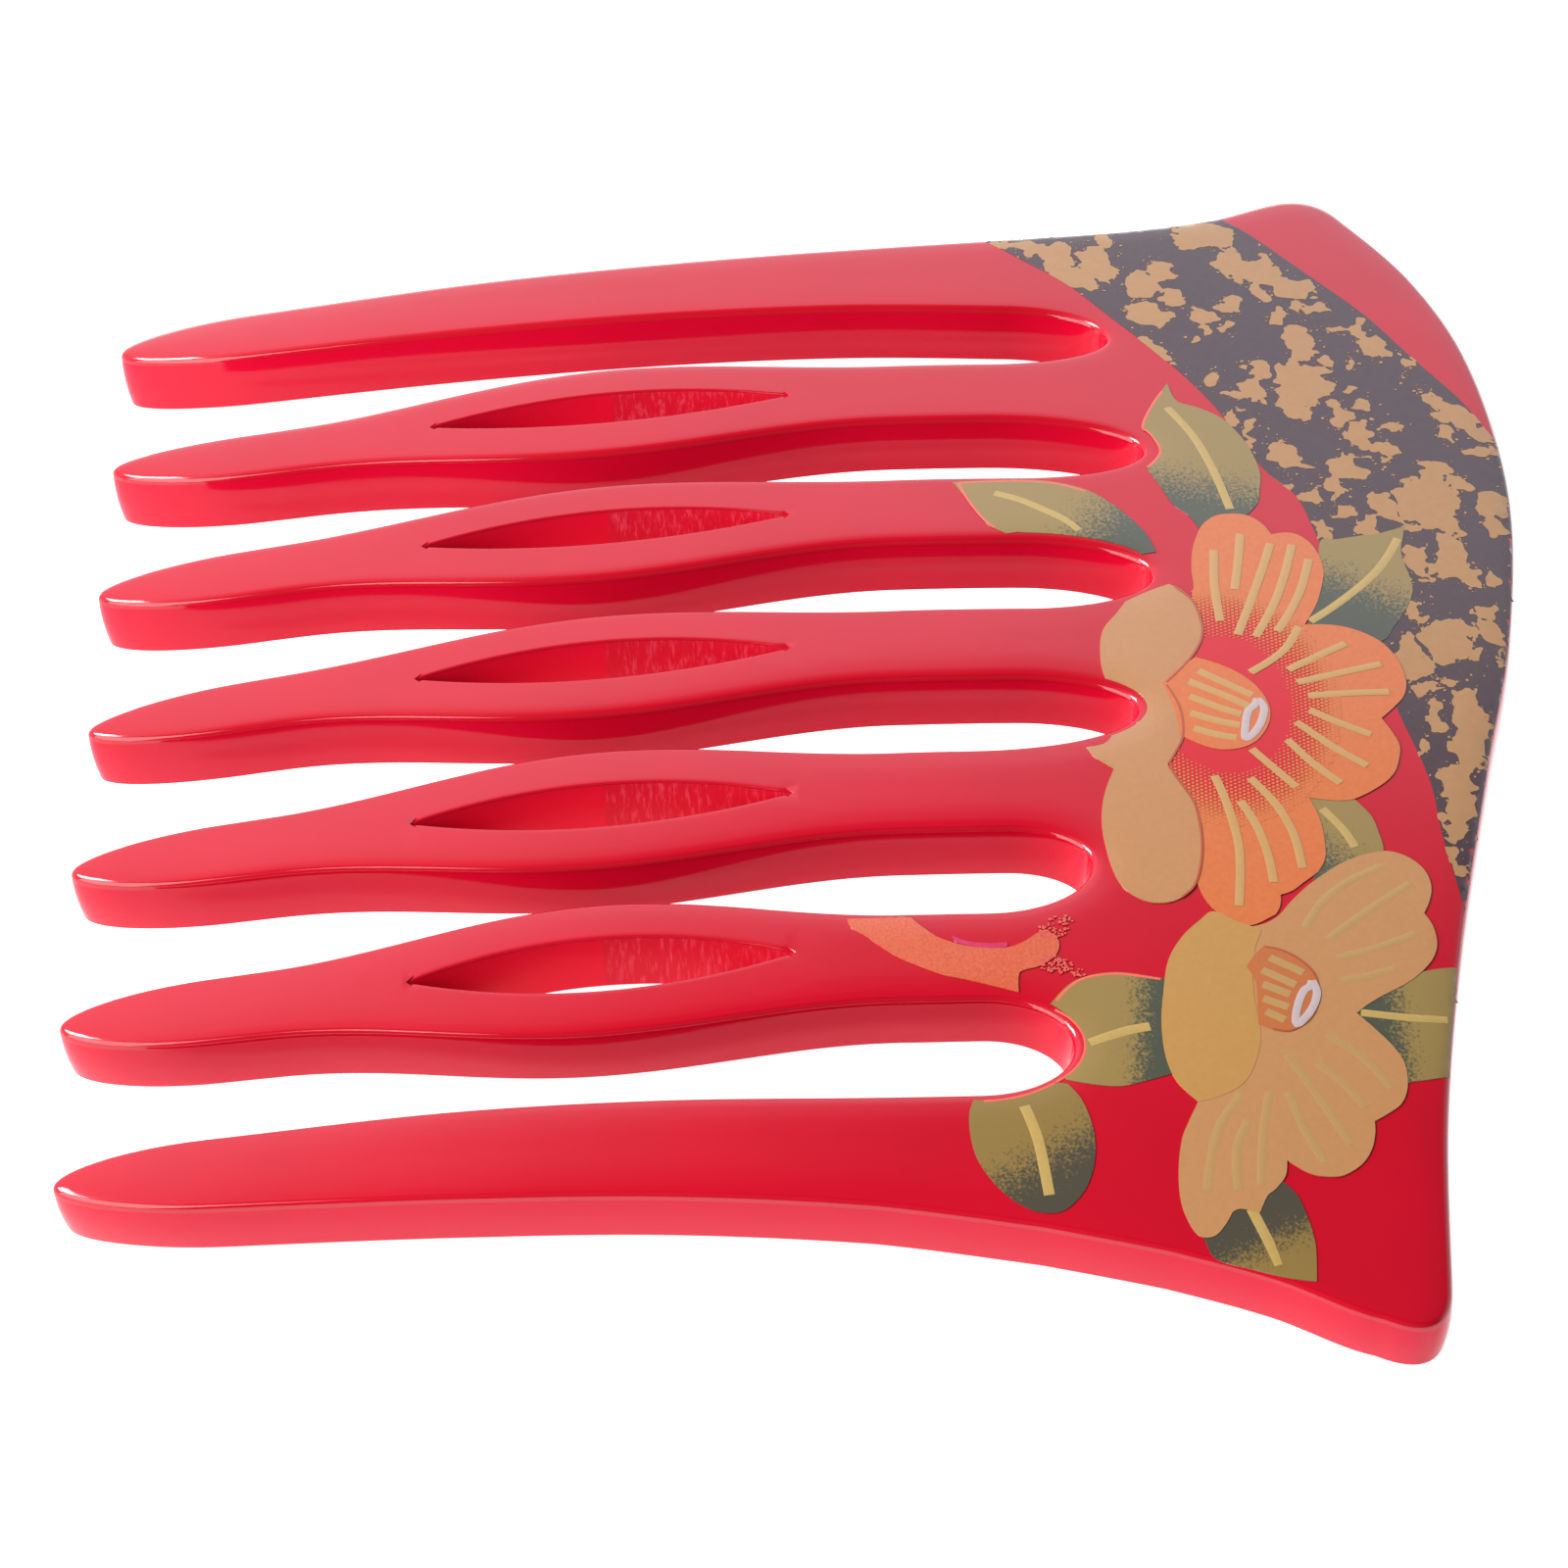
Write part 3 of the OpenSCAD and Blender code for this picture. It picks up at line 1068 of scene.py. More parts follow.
@dataclass
class CombBody:
    """The pressed sheet with its seven teeth, five eyes and eased edges."""

    name: str = "comb_body"
    # How far in the rows of points lie: over the rounded edge, then over the soft fall beside it
    ring_depths: tuple[float, ...] = (0.027, 0.102, 0.216, 0.35, 0.7, 1.2, 1.7)
    eye_depths: tuple[float, ...] = (0.009, 0.035, 0.074, 0.12, 0.3)
    grid_step: float = 0.8
    # How far the even grid stays from the innermost row, and how near an edge counts as on it
    row_gap: float = 0.3
    on_edge: float = 0.0005
    # How far down the wall its rows of points lie, as a share of its height
    wall_rows: tuple[float, ...] = (0.0, 0.05, 0.15, 0.3, 0.45, 0.6, 0.75, 0.9, 0.96, 1.0)
    # The buffed wall leans out below the upper edge and turns upright lower down
    wall_lean: float = 0.16
    wall_turn: float = 0.75
    # How far an eye's wall closes in towards the underside, in mm
    eye_draft: float = 0.34

    def bulge(self, share: float) -> float:
        """Gives how far the wall stands out in mm, at a share of its height from the upper edge."""
        return SHEET.thickness * self.wall_lean * (share - share ** 2 / (2 * self.wall_turn))

    def build(self, face: bpy.types.Material, edge: bpy.types.Material,
              cut: bpy.types.Material) -> bpy.types.Object:
        """Makes the body's piece.

        Args:
            face: the acrylic of the sheet's two faces.
            edge: the acrylic of the buffed outer walls, its red painted lighter than the faces' red as
                painted light for the glow that the sheet carries to them.
            cut: the acrylic of the sawn walls of the eyes, its red painted lighter than the faces' red
                as painted light inside the eyes.

        Returns:
            The piece, which stands for the CAD comb.
        """
        net = self.net()
        outer, eye = (np.where(gap < self.on_edge, 0, gap) for gap in PLAN.gaps(net.points))
        top, under = SHEET.top(outer, eye), SHEET.under(outer, eye)
        out = net.outward() * (outer == 0)[:, None]
        into = net.outward() * (eye == 0)[:, None]
        levels = [top + (under - top) * row for row in self.wall_rows]
        moves = [out * self.bulge(row) + into * self.eye_draft * row for row in self.wall_rows]
        piece = net.shell(self.name, levels, face, moves=moves)
        for finish in (edge, cut):
            piece.data.materials.append(finish)
        # The two faces have the first finish, the outer walls the second, the eyes' the third
        kind = np.where(eye[net.rim()[:, 0]] == 0, 2, 1)
        kinds = np.concatenate([np.zeros(2 * len(net.faces), int), np.tile(kind, len(levels) - 1)])
        piece.data.polygons.foreach_set("material_index", kinds.astype(np.int32))
        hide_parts("comb")
        return seat(piece, "acrylic")

    def net(self) -> Net:
        """Lays the body's net, closer where its edges are rounded.

        Returns:
            The net of the whole sheet.
        """
        low, high = PLAN.outline.min(0), PLAN.outline.max(0)
        flat = grid(low, high, self.grid_step)
        flat = flat[PLAN.holds(flat)]
        outer, eye = PLAN.gaps(flat)
        flat = flat[(outer > self.ring_depths[-1] + self.row_gap)
                    & (eye > self.eye_depths[-1] + self.row_gap)]
        rings = [PLAN.ring(PLAN.outline, depth) for depth in self.ring_depths]
        rings += [PLAN.ring(loop, depth) for loop in PLAN.eyes for depth in self.eye_depths]
        net = Net.over(PLAN.loops(), np.concatenate([*rings, flat]))
        return net.kept(PLAN.holds(net.middles()))


# Pieces that Geometry Nodes repeat or draw along a path

@dataclass
class Growth:
    """A tree of Geometry Nodes that works in the flat plan and ends pressed to the dome."""

    name: str
    sizes: dict[str, float]
    tree: bpy.types.NodeTree = field(init=False)
    inputs: bpy.types.Node = field(init=False)

    def __post_init__(self) -> None:
        """Makes the tree with its named inputs."""
        self.tree = bpy.data.node_groups.new(self.name, "GeometryNodeTree")
        face = self.tree.interface
        face.new_socket("Geometry", in_out="OUTPUT", socket_type="NodeSocketGeometry")
        face.new_socket("Geometry", in_out="INPUT", socket_type="NodeSocketGeometry")
        for key in self.sizes:
            face.new_socket(key, in_out="INPUT", socket_type="NodeSocketFloat")
        face.new_socket("Finish", in_out="INPUT", socket_type="NodeSocketMaterial")
        self.inputs = self.tree.nodes.new("NodeGroupInput")

    def end(self, shape: bpy.types.NodeSocket) -> None:
        """Presses the tree's result to the dome, realizes it and gives it its finish.

        Args:
            shape: the flat geometry, in metres of the plan.
        """
        tree = self.tree
        real = add(tree, "GeometryNodeRealizeInstances", links={0: shape})
        spot = add(tree, "GeometryNodeInputPosition").outputs[0]
        split = add(tree, "ShaderNodeSeparateXYZ", links={0: spot}).outputs
        ray = add(tree, "ShaderNodeCombineXYZ", {"Z": SHEET.dome_r * MM},
                  {"X": split["X"], "Y": split["Y"]})
        unit = add(tree, "ShaderNodeVectorMath", {"operation": "NORMALIZE"}, {0: ray.outputs[0]})
        far = add(tree, "ShaderNodeMath", {"operation": "ADD", 1: SHEET.dome_r * MM},
                  {0: split["Z"]})
        out = add(tree, "ShaderNodeVectorMath", {"operation": "SCALE"},
                  {0: unit.outputs[0], "Scale": far.outputs[0]})
        shift = tuple(SHEET.shift() * MM)
        home = add(tree, "ShaderNodeVectorMath", {"operation": "ADD", 1: shift},
                   {0: out.outputs[0]})
        pressed = add(tree, "GeometryNodeSetPosition",
                      links={"Geometry": real.outputs[0], "Position": home.outputs[0]})
        again = add(tree, "GeometryNodeRealizeInstances", links={0: pressed.outputs[0]})
        dressed = add(tree, "GeometryNodeSetMaterial",
                      links={"Geometry": again.outputs[0], "Material": self.inputs.outputs["Finish"]})
        add(tree, "NodeGroupOutput", links={0: dressed.outputs[0]})

    def grow(self, name: str, seed: bpy.types.ID, finish: bpy.types.Material) -> bpy.types.Object:
        """Runs the tree on a curve or on loose points and keeps the result as a plain mesh.

        Args:
            name: the piece's name.
            seed: the curve or mesh that the tree starts from.
            finish: the piece's material.

        Returns:
            The piece, seated on the comb.
        """
        start = bpy.data.objects.new(name + "_start", seed)
        bpy.context.scene.collection.objects.link(start)
        change = start.modifiers.new("growth", "NODES")
        change.node_group = self.tree
        for item in self.tree.interface.items_tree:
            if item.in_out == "INPUT" and item.name in self.sizes:
                change[item.identifier] = self.sizes[item.name]
            elif item.in_out == "INPUT" and item.name == "Finish":
                change[item.identifier] = finish
        shown = start.evaluated_get(bpy.context.evaluated_depsgraph_get())
        mesh = bpy.data.meshes.new_from_object(shown)
        bpy.data.objects.remove(start)
        mesh.name = name
        return seat(put(name, mesh, 50), "print")


@dataclass
class Brush:
    """A fine brush: each stroke is a low ridge of paint with round ends."""

    half_width: float = 0.22
    half_height: float = 0.008
    step: float = 0.12
    # The distance between two drawn points of a stroke, and the sides of its section
    draw_step: float = 0.3
    sides: int = 8

    def tree(self) -> Growth:
        """Builds the stroke's nodes.

        Returns:
            The growth that turns curves into strokes.
        """
        sizes = {"Half width": self.half_width * MM, "Half height": self.half_height * MM,
                 "Step": self.step * MM}
        growth = Growth("brush strokes", sizes)
        tree, given = growth.tree, growth.inputs.outputs
        # The width rises from each end as a circle does: the root of 1 less the square of the rest
        even = add(tree, "GeometryNodeResampleCurve", {"mode": "LENGTH"},
                   {"Curve": given["Geometry"], "Length": given["Step"]})
        along = add(tree, "GeometryNodeSplineParameter").outputs["Length"]
        whole = add(tree, "GeometryNodeSplineLength").outputs["Length"]
        rest = add(tree, "ShaderNodeMath", {"operation": "SUBTRACT"}, {0: whole, 1: along})
        near = add(tree, "ShaderNodeMath", {"operation": "MINIMUM"}, {0: along, 1: rest.outputs[0]})
        share = add(tree, "ShaderNodeMath", {"operation": "DIVIDE", "use_clamp": True},
                    {0: near.outputs[0], 1: given["Half width"]})
        back = add(tree, "ShaderNodeMath", {"operation": "SUBTRACT", 0: 1.0}, {1: share.outputs[0]})
        square = add(tree, "ShaderNodeMath", {"operation": "POWER", 1: 2.0}, {0: back.outputs[0]})
        left = add(tree, "ShaderNodeMath", {"operation": "SUBTRACT", 0: 1.03}, {1: square.outputs[0]})
        full = add(tree, "ShaderNodeMath", {"operation": "SQRT"}, {0: left.outputs[0]})
        flat = add(tree, "GeometryNodeSetCurveNormal", {"mode": "Z_UP"}, {"Curve": even.outputs[0]})
        sized = add(tree, "GeometryNodeSetCurveRadius", links={"Curve": flat.outputs[0],
                                                               "Radius": full.outputs[0]})
        ring = add(tree, "GeometryNodeCurvePrimitiveCircle", {"Resolution": self.sides,
                                                                  "Radius": 1.0})
        scale = add(tree, "ShaderNodeCombineXYZ", {"Z": 1.0}, {"X": given["Half width"],
                                                               "Y": given["Half height"]})
        oval = add(tree, "GeometryNodeTransform", links={"Geometry": ring.outputs[0],
                                                         "Scale": scale.outputs[0]})
        swept = add(tree, "GeometryNodeCurveToMesh", {"Fill Caps": True},
                    {"Curve": sized.outputs[0], "Profile Curve": oval.outputs[0]})
        growth.end(swept.outputs[0])
        return growth

    def paint(self, name: str, strokes: list[Run], layer: Layer,
              finish: bpy.types.Material) -> bpy.types.Object:
        """Paints strokes on the comb.

        Args:
            name: the piece's name.
            strokes: the plan points of each stroke, in mm.
            layer: the ink that they lie on.
            finish: the paint.

        Returns:
            The piece.
        """
        curve = bpy.data.curves.new(name + "_path", "CURVE")
        curve.dimensions = "3D"
        for stroke in strokes:
            spots = through(np.array(stroke, float), self.draw_step)
            line = curve.splines.new("POLY")
            line.points.add(len(spots) - 1)
            rows = np.column_stack([spots, layer.rise(spots)]) * MM
            line.points.foreach_set("co", np.column_stack([rows, np.ones(len(rows))]).ravel())
        return self.tree().grow(name, curve, finish)


@dataclass
class Dots:
    """Small flat flecks of ink or leaf, one on each of a set of points."""

    radius: float = 0.1
    thickness: float = 0.02
    sides: int = 6
    # What each point says of its fleck: its size, its width for its length, and its turn
    marks: tuple[str, ...] = ("size", "slim", "turn")

    def tree(self) -> Growth:
        """Builds the nodes that set a fleck on each point.

        Returns:
            The growth that turns points into flecks.
        """
        growth = Growth("flecks", {"Radius": self.radius * MM, "Thickness": self.thickness * MM})
        tree, given = growth.tree, growth.inputs.outputs
        fleck = add(tree, "GeometryNodeMeshCylinder", {"Vertices": self.sides},
                    {"Radius": given["Radius"], "Depth": given["Thickness"]})
        size, slim, turn = (add(tree, "GeometryNodeInputNamedAttribute",
                                {"data_type": "FLOAT", "Name": key}) for key in self.marks)
        side = add(tree, "ShaderNodeMath", {"operation": "MULTIPLY"},
                   {0: size.outputs[0], 1: slim.outputs[0]})
        scale = add(tree, "ShaderNodeCombineXYZ", {"Z": 1.0},
                    {"X": size.outputs[0], "Y": side.outputs[0]})
        twist = add(tree, "ShaderNodeCombineXYZ", links={"Z": turn.outputs[0]})
        placed = add(tree, "GeometryNodeInstanceOnPoints",
                     links={"Points": given["Geometry"], "Instance": fleck.outputs[0],
                            "Scale": scale.outputs[0], "Rotation": twist.outputs[0]})
        growth.end(placed.outputs[0])
        return growth

    def scatter(self, name: str, spots: np.ndarray, marks: dict[str, np.ndarray], layer: Layer,
                finish: bpy.types.Material) -> bpy.types.Object:
        """Sets a fleck on each point of the comb's face.

        Args:
            name: the piece's name.
            spots: plan points in mm.
            marks: each point's size, slimness and turn.
            layer: the ink that they lie on.
            finish: the flecks' material.

        Returns:
            The piece.
        """
        mesh = bpy.data.meshes.new(name + "_points")
        mesh.from_pydata((np.column_stack([spots, layer.rise(spots)]) * MM).tolist(), [], [])
        for key, values in marks.items():
            mesh.attributes.new(key, "FLOAT", "POINT").data.foreach_set(
                "value", np.asarray(values, np.float32))
        return self.tree().grow(name, mesh, finish)


# The printed band and its torn gold leaf

@dataclass
class Flake:
    """One torn piece of gold leaf: its middle, length and width in mm, and its turn in degrees."""

    u: float
    v: float
    length: float
    width: float
    turn: float = 0.0


@dataclass
class GoldLeaf:
    """Torn gold leaf on the band: ragged flakes, larger ones placed by hand."""

    flakes: list[Flake]
    band: Shape
    # Torn gold leaf on the band: ragged flakes, the larger ones listed one by one.
    cell: float = 0.11
    step: float = 0.5
    # How far the flakes are warped, and how deep their edges are torn, in mm
    warp: float = 0.45
    rag: float = 0.21
    # Columns: a grain's width in mm and its share, for the warp and for the tears
    warps: tuple[Point, ...] = ((1.1, 1.0), (0.45, 0.5))
    tears: tuple[Point, ...] = ((0.7, 1.0), (0.32, 0.7), (0.17, 0.5))
    # Loose specks round the flakes: how many are tried, and how far off they lie, in mm
    tries: int = 16000
    stray: float = 0.5
    # How far the flakes may reach past the band's edge, in mm
    over: float = 0.05
    margin: float = 0.102
    # The depth that stands for no gold near by, and the one past which no edge is looked for
    bare: float = -2.0
    far: float = -0.4
    # Points inside the gold stay this far from its edge, and specks outside this far
    inset: float = 0.12
    loose: float = 0.04
    seed: int = 12

    def grains(self, points: np.ndarray, seed: int, sizes: tuple[Point, ...]) -> np.ndarray:
        """Adds up noise of several grain sizes.

        Args:
            points: plan points in mm.
            seed: the first size's seed; each further size takes the next.
            sizes: the grains' widths and shares.

        Returns:
            The sum at each point.
        """
        return sum(share * Grain(seed + k).at(points, size)
                   for k, (size, share) in enumerate(sizes))

    def cover(self, points: np.ndarray) -> np.ndarray:
        """Tells how deep points lie inside the gold.

        Args:
            points: plan points in mm.

        Returns:
            A depth in mm, below 0 where there is no gold.
        """
        shifts = [self.grains(points, seed, self.warps) for seed in (3, 5)]
        spots = points + self.warp * np.column_stack(shifts)
        depth = np.full(len(points), self.bare)
        for flake in self.flakes:
            rel = spots - (flake.u, flake.v)
            near = np.abs(rel).max(1) < max(flake.length, flake.width) + 1
            c, s = math.cos(math.radians(flake.turn)), math.sin(math.radians(flake.turn))
            x, y = rel[near, 0] * c + rel[near, 1] * s, rel[near, 1] * c - rel[near, 0] * s
            share = np.hypot(x / flake.length * 2, y / flake.width * 2)
            here = (1 - share) * min(flake.length, flake.width) / 2
            depth[near] = np.maximum(depth[near], here)
        return depth + self.rag * self.grains(points, 8, self.tears)

    def build(self, finish: bpy.types.Material) -> bpy.types.Object:
        """Makes the gold's piece.

        Args:
            finish: the gold leaf.

        Returns:
            The piece.
        """
        rim = self.band.loop()
        low, high = rim.min(0) - 1, rim.max(0) + 1
        count = np.ceil((high - low) / self.cell).astype(int)
        x, y = (low[k] + self.cell * np.arange(count[k]) for k in (0, 1))
        spots = np.stack(np.meshgrid(x, y, indexing="ij"), -1).reshape(-1, 2)
        depth = self.cover(spots)
        near = depth > self.far
        side = np.where(inside(spots[near], rim), 1, -1) * PLAN.away(spots[near], [rim])
        on = np.where(PLAN.holds(spots[near]), 1, -1) * PLAN.gap(spots[near])
        depth[near] = np.minimum(np.minimum(depth[near], side + self.over), on - self.margin)
        depth = depth.reshape(count)
        corners, edges = self.contour(depth, low)
        inner = grid(low, high, self.step)
        inner = inner[self.read(depth, low, inner) > self.inset]
        net = Net.joined(np.concatenate([corners, inner]), edges, 1e-6, 1e-7)
        net = net.kept(self.read(depth, low, net.middles()) > 0)
        return net.film("gold_leaf", Layer.GOLD, finish)

    def specks(self, finish: bpy.types.Material) -> bpy.types.Object:
        """Scatters the crumbs that came off the flakes' torn edges.

        Args:
            finish: the gold leaf.

        Returns:
            The piece.
        """
        rng = np.random.default_rng(self.seed)
        rim = self.band.loop()
        spots = rng.uniform(rim.min(0), rim.max(0), (self.tries, 2))
        depth = self.cover(spots)
        keep = (depth < -self.loose) & (depth > -self.stray * rng.random(len(spots)))
        keep[keep] &= inside(spots[keep], rim) & PLAN.holds(spots[keep])
        flecks = Dots(0.1, sides=5)
        keep[keep] &= PLAN.gap(spots[keep]) > self.margin + flecks.radius
        spots = spots[keep]
        count = len(spots)
        # Most specks are small
        marks = {"size": 0.25 + rng.random(count) ** 3, "slim": rng.uniform(0.4, 1, count),
                 "turn": rng.uniform(0, math.tau, count)}
        return flecks.scatter("gold_specks", spots, marks, Layer.GOLD, finish)

    def read(self, depth: np.ndarray, low: np.ndarray, points: np.ndarray) -> np.ndarray:
        """Reads the depth between the points of its grid.

        Args:
            depth: the depth at each grid point.
            low: the grid's first corner.
            points: plan points in mm.

        Returns:
            The depth at each point.
        """
        spot = np.clip((points - low) / self.cell, 0, np.array(depth.shape) - 1.001)
        i, j = np.floor(spot).astype(int).T
        f, g = (spot - np.floor(spot)).T
        return ((depth[i, j] * (1 - f) + depth[i + 1, j] * f) * (1 - g)
                + (depth[i, j + 1] * (1 - f) + depth[i + 1, j + 1] * f) * g)

    def contour(self, depth: np.ndarray,
                low: np.ndarray) -> tuple[np.ndarray, list[tuple[int, int]]]:
        """Draws the line where the depth passes 0.

        Args:
            depth: the depth at each grid point.
            low: the grid's first corner.

        Returns:
            The line's points and the edges between them.
        """
        numbers: dict[tuple[int, int, int], int] = {}
        points: list[np.ndarray] = []
        for way, (di, dj) in enumerate(((1, 0), (0, 1))):
            one = depth[:depth.shape[0] - di, :depth.shape[1] - dj]
            two = depth[di:, dj:]
            for i, j in np.argwhere((one > 0) != (two > 0)).tolist():
                # Kept off the grid's own points, so no edge shrinks to nothing
                f = min(max(one[i, j] / (one[i, j] - two[i, j]), 0.02), 0.98)
                numbers[(way, i, j)] = len(points)
                points.append(low + self.cell * np.array([i + di * f, j + dj * f]))
        edges = []
        gold = depth > 0
        cells = gold[:-1, :-1].astype(int) + gold[1:, :-1] + gold[:-1, 1:] + gold[1:, 1:]
        for i, j in np.argwhere((cells > 0) & (cells < 4)).tolist():
            keys = [(0, i, j), (1, i + 1, j), (0, i, j + 1), (1, i, j)]
            found = [numbers[key] for key in keys if key in numbers]
            edges += [(found[k], found[k + 1]) for k in range(0, len(found) - 1, 2)]
        return np.array(points), edges


# Columns of every run here and below: U and V in mm
BAND = Shape((
    ((-39.9, 20.8), (-40.3, 21.9)),
    ((-40.9, 22.6), (-40, 21.9), (-38, 23.4), (-34, 26.1), (-30, 28.9), (-26, 31.1), (-22, 33.5),
     (-18.5, 35.1)),
    ((-17, 36.4), (0, 36.5), (14, 33.6)),
    ((20, 31.4), (16.4, 30.7), (13, 30.1), (10, 29.8), (7.7, 29.3), (4.5, 28.4), (0, 27.5),
     (-8.2, 25.2), (-12, 24.2), (-14, 22.8), (-16, 21.9), (-20, 20.3), (-24, 18.1), (-29, 14.9),
     (-32, 13), (-34, 11.2), (-36.6, 9)),
    ((-37.4, 8.2), (-38.6, 8), (-39.6, 14), (-40.6, 19)),
))
# Columns: U, V, length and width in mm, and the turn in degrees where there is one
FLAKES = [Flake(*row) for row in (
    (-37.8, 20.6, 3.2, 3.9, 20), (-35.2, 21.8, 3.4, 1.6), (-33.7, 23.3, 2.8, 3.2),
    (-32.3, 25.3, 2.6, 2.2), (-30.7, 26.3, 1.9, 0.9), (-35.6, 24.1, 2, 0.5),
    (-31.2, 23.6, 1.8, 1), (-30.2, 25.4, 0.9, 0.5), (-29.5, 24.6, 0.9, 0.5),
    (-28.7, 24.2, 1.1, 0.7), (-26.3, 25.3, 3.2, 2), (-25, 26.3, 0.9, 0.6),
    (-28.5, 28.5, 1.8, 1), (-28, 27.4, 0.8, 1.4), (-26.4, 29.3, 2.1, 1.5),
    (-25.3, 31, 1.2, 0.7), (-24.9, 27.4, 1, 0.4), (-22.6, 25.3, 3.9, 3),
    (-20.8, 24.7, 2.8, 2.2), (-19.5, 26.9, 2.1, 1.5), (-18, 28.1, 2.5, 1.6),
    (-16.8, 29, 1, 1.2), (-23.4, 22.8, 1.6, 1), (-21.6, 22.5, 1.7, 1),
    (-21.2, 21.4, 0.5, 0.8), (-22.5, 20.5, 1.4, 1.1), (-20.8, 28.2, 1.2, 1.1),
    (-19.7, 27.8, 0.8, 0.6), (-22.3, 27.4, 0.5, 0.7), (-19, 29.8, 0.8, 0.8),
    (-20.5, 33.2, 5.8, 1.6, 40), (-17.2, 33.7, 0.9, 1.6), (-18.7, 32.4, 1.3, 1.2),
    (-17.5, 34.9, 1.1, 0.5), (-14.8, 31.5, 2.8, 2), (-15.9, 29.2, 1, 0.6),
    (-15.9, 28.3, 1, 0.5), (-15.2, 26.7, 1.8, 1.9), (-15.5, 23.6, 2.3, 1.4),
    (-18, 22.4, 1.7, 0.9), (-18.8, 21.3, 1.9, 0.9), (-16.8, 22.2, 1.3, 0.5),
    (-36.4, 15.3, 2, 1.1), (-34.2, 14.8, 4.4, 2.1), (-33.3, 18.3, 2.1, 1.4),
    (-32, 17, 3.2, 1.8), (-30.6, 18.8, 1.4, 1.7), (-28.6, 17.4, 2.2, 2.4),
    (-28.8, 20.2, 1.9, 1.5), (-27.4, 20.6, 1, 0.5), (-30.3, 21.6, 1.5, 1.1),
    (-27.8, 21.7, 1.8, 0.7), (-26.2, 19.8, 0.5, 0.5), (-35.2, 12.6, 3.3, 1.7),
    (-32.5, 13.5, 2.7, 1.3, 35), (-35.8, 11.2, 2.1, 1.7), (-36.3, 10, 1.2, 1.7),
    (-24.7, 17.8, 3.7, 0.8, 28), (-12.6, 34.4, 2.8, 1.8), (-10.6, 34.7, 1.4, 1),
    (-9.3, 34.9, 1.1, 0.4), (-14.1, 32.7, 1, 1.3), (-12.6, 31.3, 4.7, 2.3), (-10.6, 32, 2.1, 1.4),
    (-12, 29.8, 4.2, 1.7), (-11.8, 28.6, 2.1, 1.2), (-7.8, 31.8, 4.3, 1.6), (-6.4, 32.5, 1.5, 1),
    (-6.3, 33.8, 1.1, 1), (-5.8, 32.9, 0.8, 0.7), (-7, 30.2, 2.9, 1.4), (-5.2, 30.2, 0.6, 0.4),
    (-3.3, 33.5, 1.3, 1), (-1.8, 33.3, 1.7, 2), (-0.6, 33.8, 1.9, 0.8), (-1.3, 31.3, 3.6, 2.3),
    (-0.1, 32.6, 1.1, 1), (-3.4, 29.8, 2, 1.1), (0.3, 29.3, 3.6, 1.4), (0.6, 30.3, 1.3, 0.7),
    (2.3, 29.6, 1.1, 0.9), (2.4, 30.5, 0.9, 0.8), (3.6, 30.4, 1, 0.8), (3, 31.4, 1.3, 1),
    (5.5, 32, 5.7, 2), (9.8, 31.1, 6.7, 1.4, -12), (5.3, 30.1, 2.1, 0.8), (7, 29.7, 0.4, 0.5),
    (12.6, 30.7, 1.5, 0.9), (14.2, 30.5, 1.1, 0.5), (15.2, 30.9, 0.9, 0.5), (-11.1, 26.5, 1.1, 0.7),
    (-13.3, 26.3, 1.8, 1.2), (-11.9, 24.9, 1.3, 0.7), (-9.6, 25.3, 1.1, 0.7), (-8.7, 25.4, 0.8, 0.7),
    (-12.8, 24, 1.1, 1), (-14.6, 27, 1.5, 1.7), (-9.8, 27.9, 1.8, 1.2), (-14.8, 24, 0.7, 1.6),
)]


# The printed camellias and leaves

@dataclass
class Leaf:
    """One sprayed leaf with its painted vein, light at one point and dark at another."""

    name: str
    shape: Shape
    vein: Run
    light: Point
    dark: Point
    margin: float = 0.5
    # The thin coral lines along its edge, and whether its vein is a broad one
    rims: tuple[Run, ...] = ()
    broad: bool = False
    # The two leaves nearest the camera fade to umber, the others to slate
    umber: bool = False

    def shade(self, points: np.ndarray) -> np.ndarray:
        """Gives the leaf's darkness at plan points, 0 at its light end and 1 at its dark one."""
        way = np.subtract(self.dark, self.light)
        return (points - np.array(self.light)) @ way / (way @ way)

    def build(self, finish: bpy.types.Material) -> bpy.types.Object:
        """Makes the leaf's piece from its sprayed ink."""
        film = Film(self.name, Layer.LEAF, [self.shape], self.margin)
        return film.build(finish, {"shade": self.shade})


